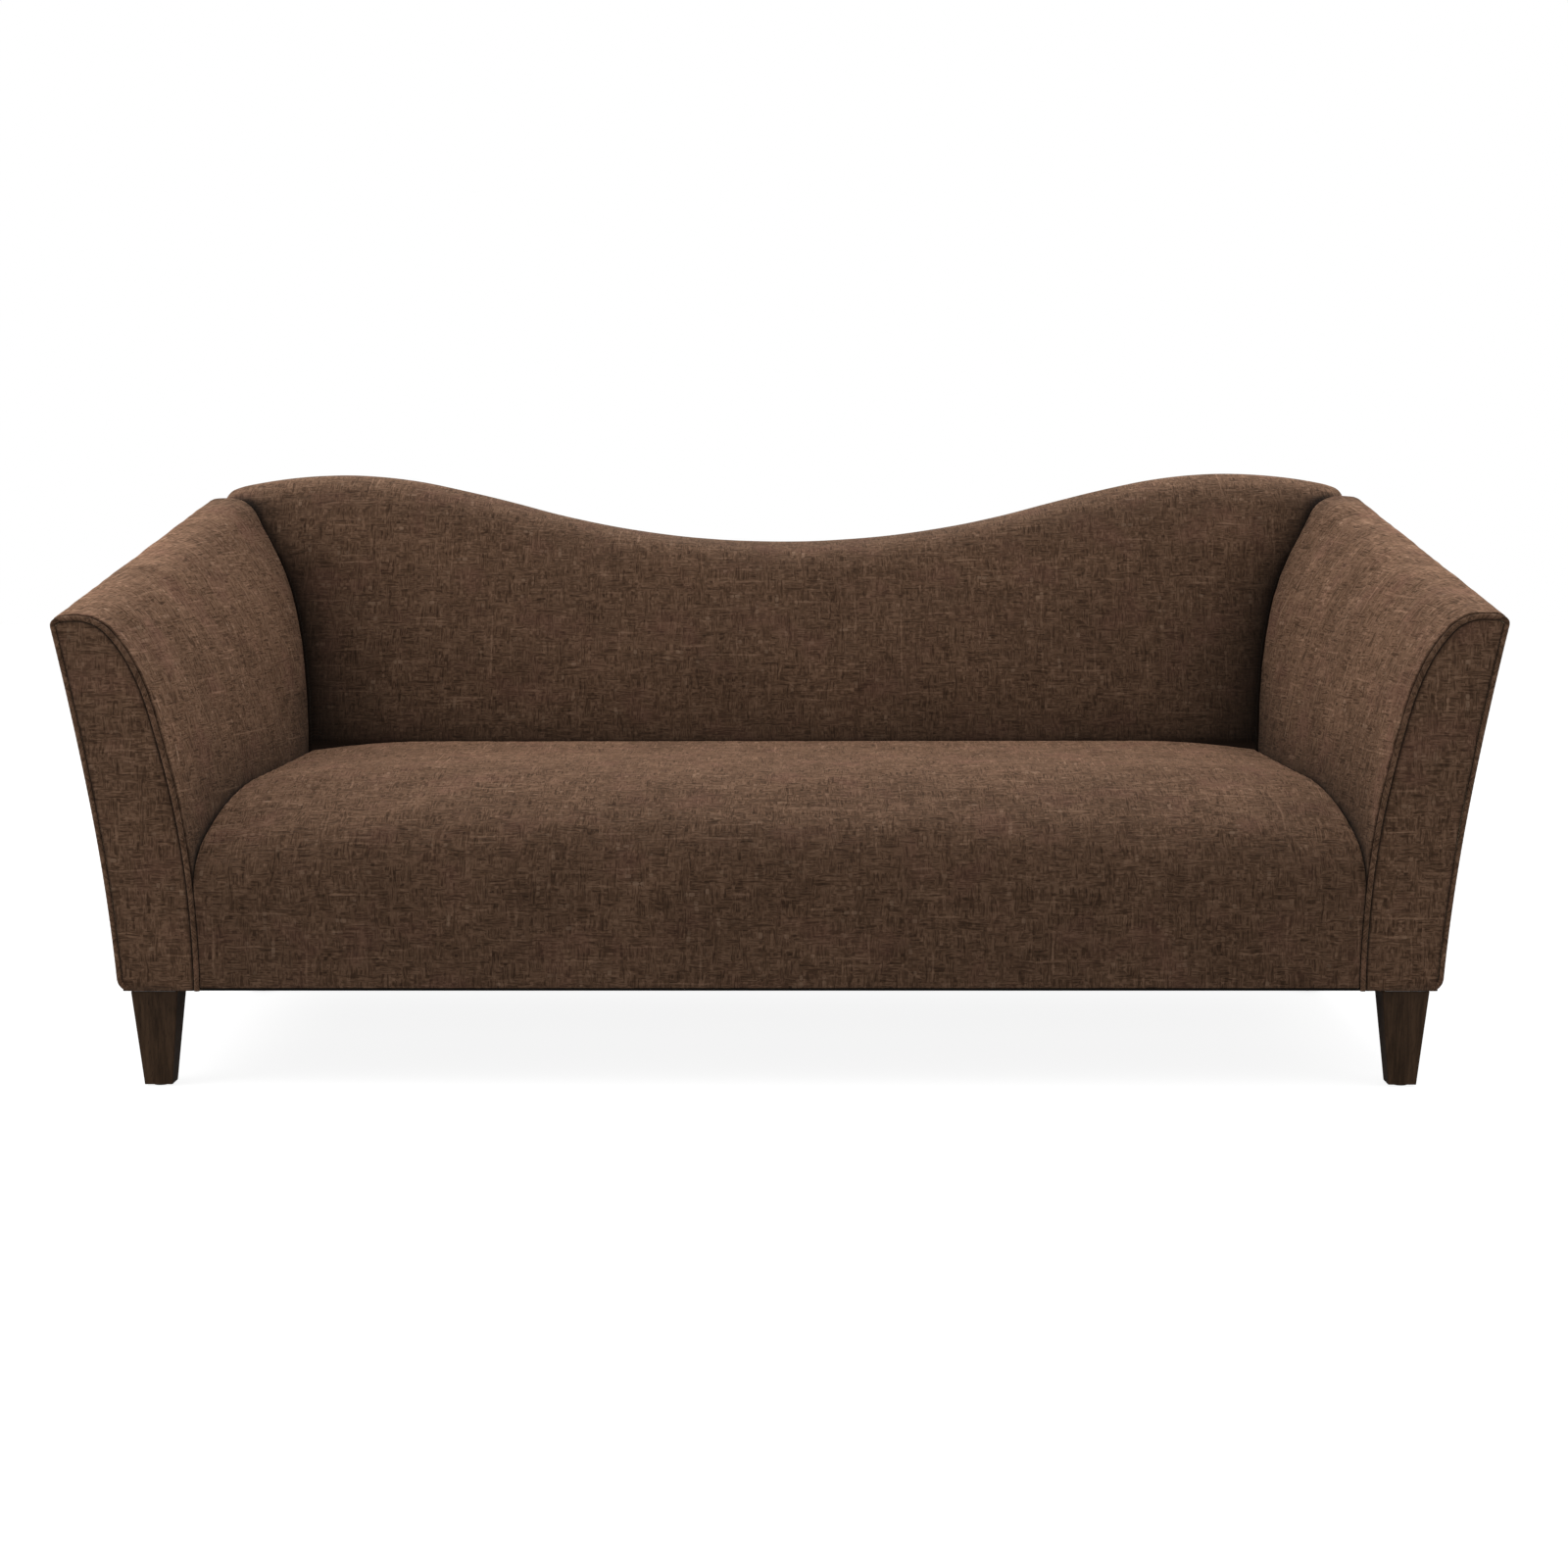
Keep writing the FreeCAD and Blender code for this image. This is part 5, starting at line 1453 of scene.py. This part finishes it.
# Soft lamps: name, power in watts, width and height, place and what they point at.
lamps = [
    ("frontLight", 74.0, (3.0, 1.2), (0.0, -4.8, 1.1), (0.0, 0.0, 0.5)),
    ("leftLight", 29.0, (1.5, 1.5), (-2.6, -1.2, 2.2), (0.0, 0.0, 0.4)),
    ("rightLight", 11.0, (1.5, 1.5), (2.6, -1.2, 2.2), (0.0, 0.0, 0.4)),
    ("backLight", 60.0, (3.0, 1.2), (0.0, 4.8, 0.9), (0.0, 0.0, 0.5)),
    ("rearLeftLight", 7.6, (1.0, 1.0), (-1.3, 0.7, 2.2), (-0.4, -0.1, 0.45)),
    ("rearRightLight", 11.5, (1.0, 1.0), (1.3, 0.7, 2.2), (0.4, -0.1, 0.45)),
]


def emptyTree(block):
    block.use_nodes = True
    block.node_tree.nodes.clear()
    return block.node_tree


def makeFloor():
    # A floor that takes shadows and looks almost white to the camera.
    reach = studio["floorReach"]
    mesh = bpy.data.meshes.new("studioFloor")
    mesh.from_pydata([(-reach, -reach, 0), (reach, -reach, 0), (reach, reach, 0),
                      (-reach, reach, 0)], [], [(0, 1, 2, 3)])
    material = bpy.data.materials.new("floorPaint")
    tree = emptyTree(material)
    paint = addNode(tree, "ShaderNodeBsdfDiffuse", {"Color": (studio["floorTone"],) * 3 + (1,)})
    seen = Flow(addNode(tree, "ShaderNodeLightPath"), "Is Camera Ray")
    glow = addNode(tree, "ShaderNodeEmission", {"Strength": seen * studio["floorGlow"]})
    both = addNode(tree, "ShaderNodeAddShader", {0: Flow(paint), 1: Flow(glow)})
    addNode(tree, "ShaderNodeOutputMaterial", {"Surface": Flow(both)})
    mesh.materials.append(material)
    floor = addObject("studioFloor", mesh)


def makeWorld():
    # Soft light on the sofa, and white for the camera.
    world = bpy.data.worlds.new("studioWorld")
    bpy.context.scene.world = world
    tree = emptyTree(world)
    light, white = (Flow(addNode(tree, "ShaderNodeBackground", {
        "Color": (1.0, 1.0, 1.0, 1), "Strength": strength}))
        for strength in (studio["worldLight"], 1.0))
    seen = Flow(addNode(tree, "ShaderNodeLightPath"), "Is Camera Ray")
    mix = addNode(tree, "ShaderNodeMixShader", {0: seen, 1: light, 2: white})
    addNode(tree, "ShaderNodeOutputWorld", {"Surface": Flow(mix)})


def makeLamp(name, power, size, place, target):
    lamp = bpy.data.lights.new(name, "AREA")
    lamp.shape = "RECTANGLE"
    lamp.size, lamp.size_y = size
    lamp.energy = power
    thing = addObject(name, lamp)
    thing.location = place
    way = Vector(target) - Vector(place)
    thing.rotation_euler = way.to_track_quat("-Z", "Y").to_euler()


makeFloor()
makeWorld()
for row in lamps:
    makeLamp(*row)

cameraData = bpy.data.cameras.new("camera")
cameraData.sensor_width = 36.0
cameraData.lens = studio["focalPixels"] / studio["framePixels"] * cameraData.sensor_width
camera = addObject("camera", cameraData)
camera.location = studio["cameraPlace"]
camera.rotation_euler = (math.radians(90 - studio["cameraPitch"]),
                         math.radians(studio["cameraRoll"]), math.radians(studio["cameraTurn"]))
bpy.context.scene.camera = camera
bpy.context.scene.view_settings.view_transform = "Standard"
print("floor, light and camera ready")
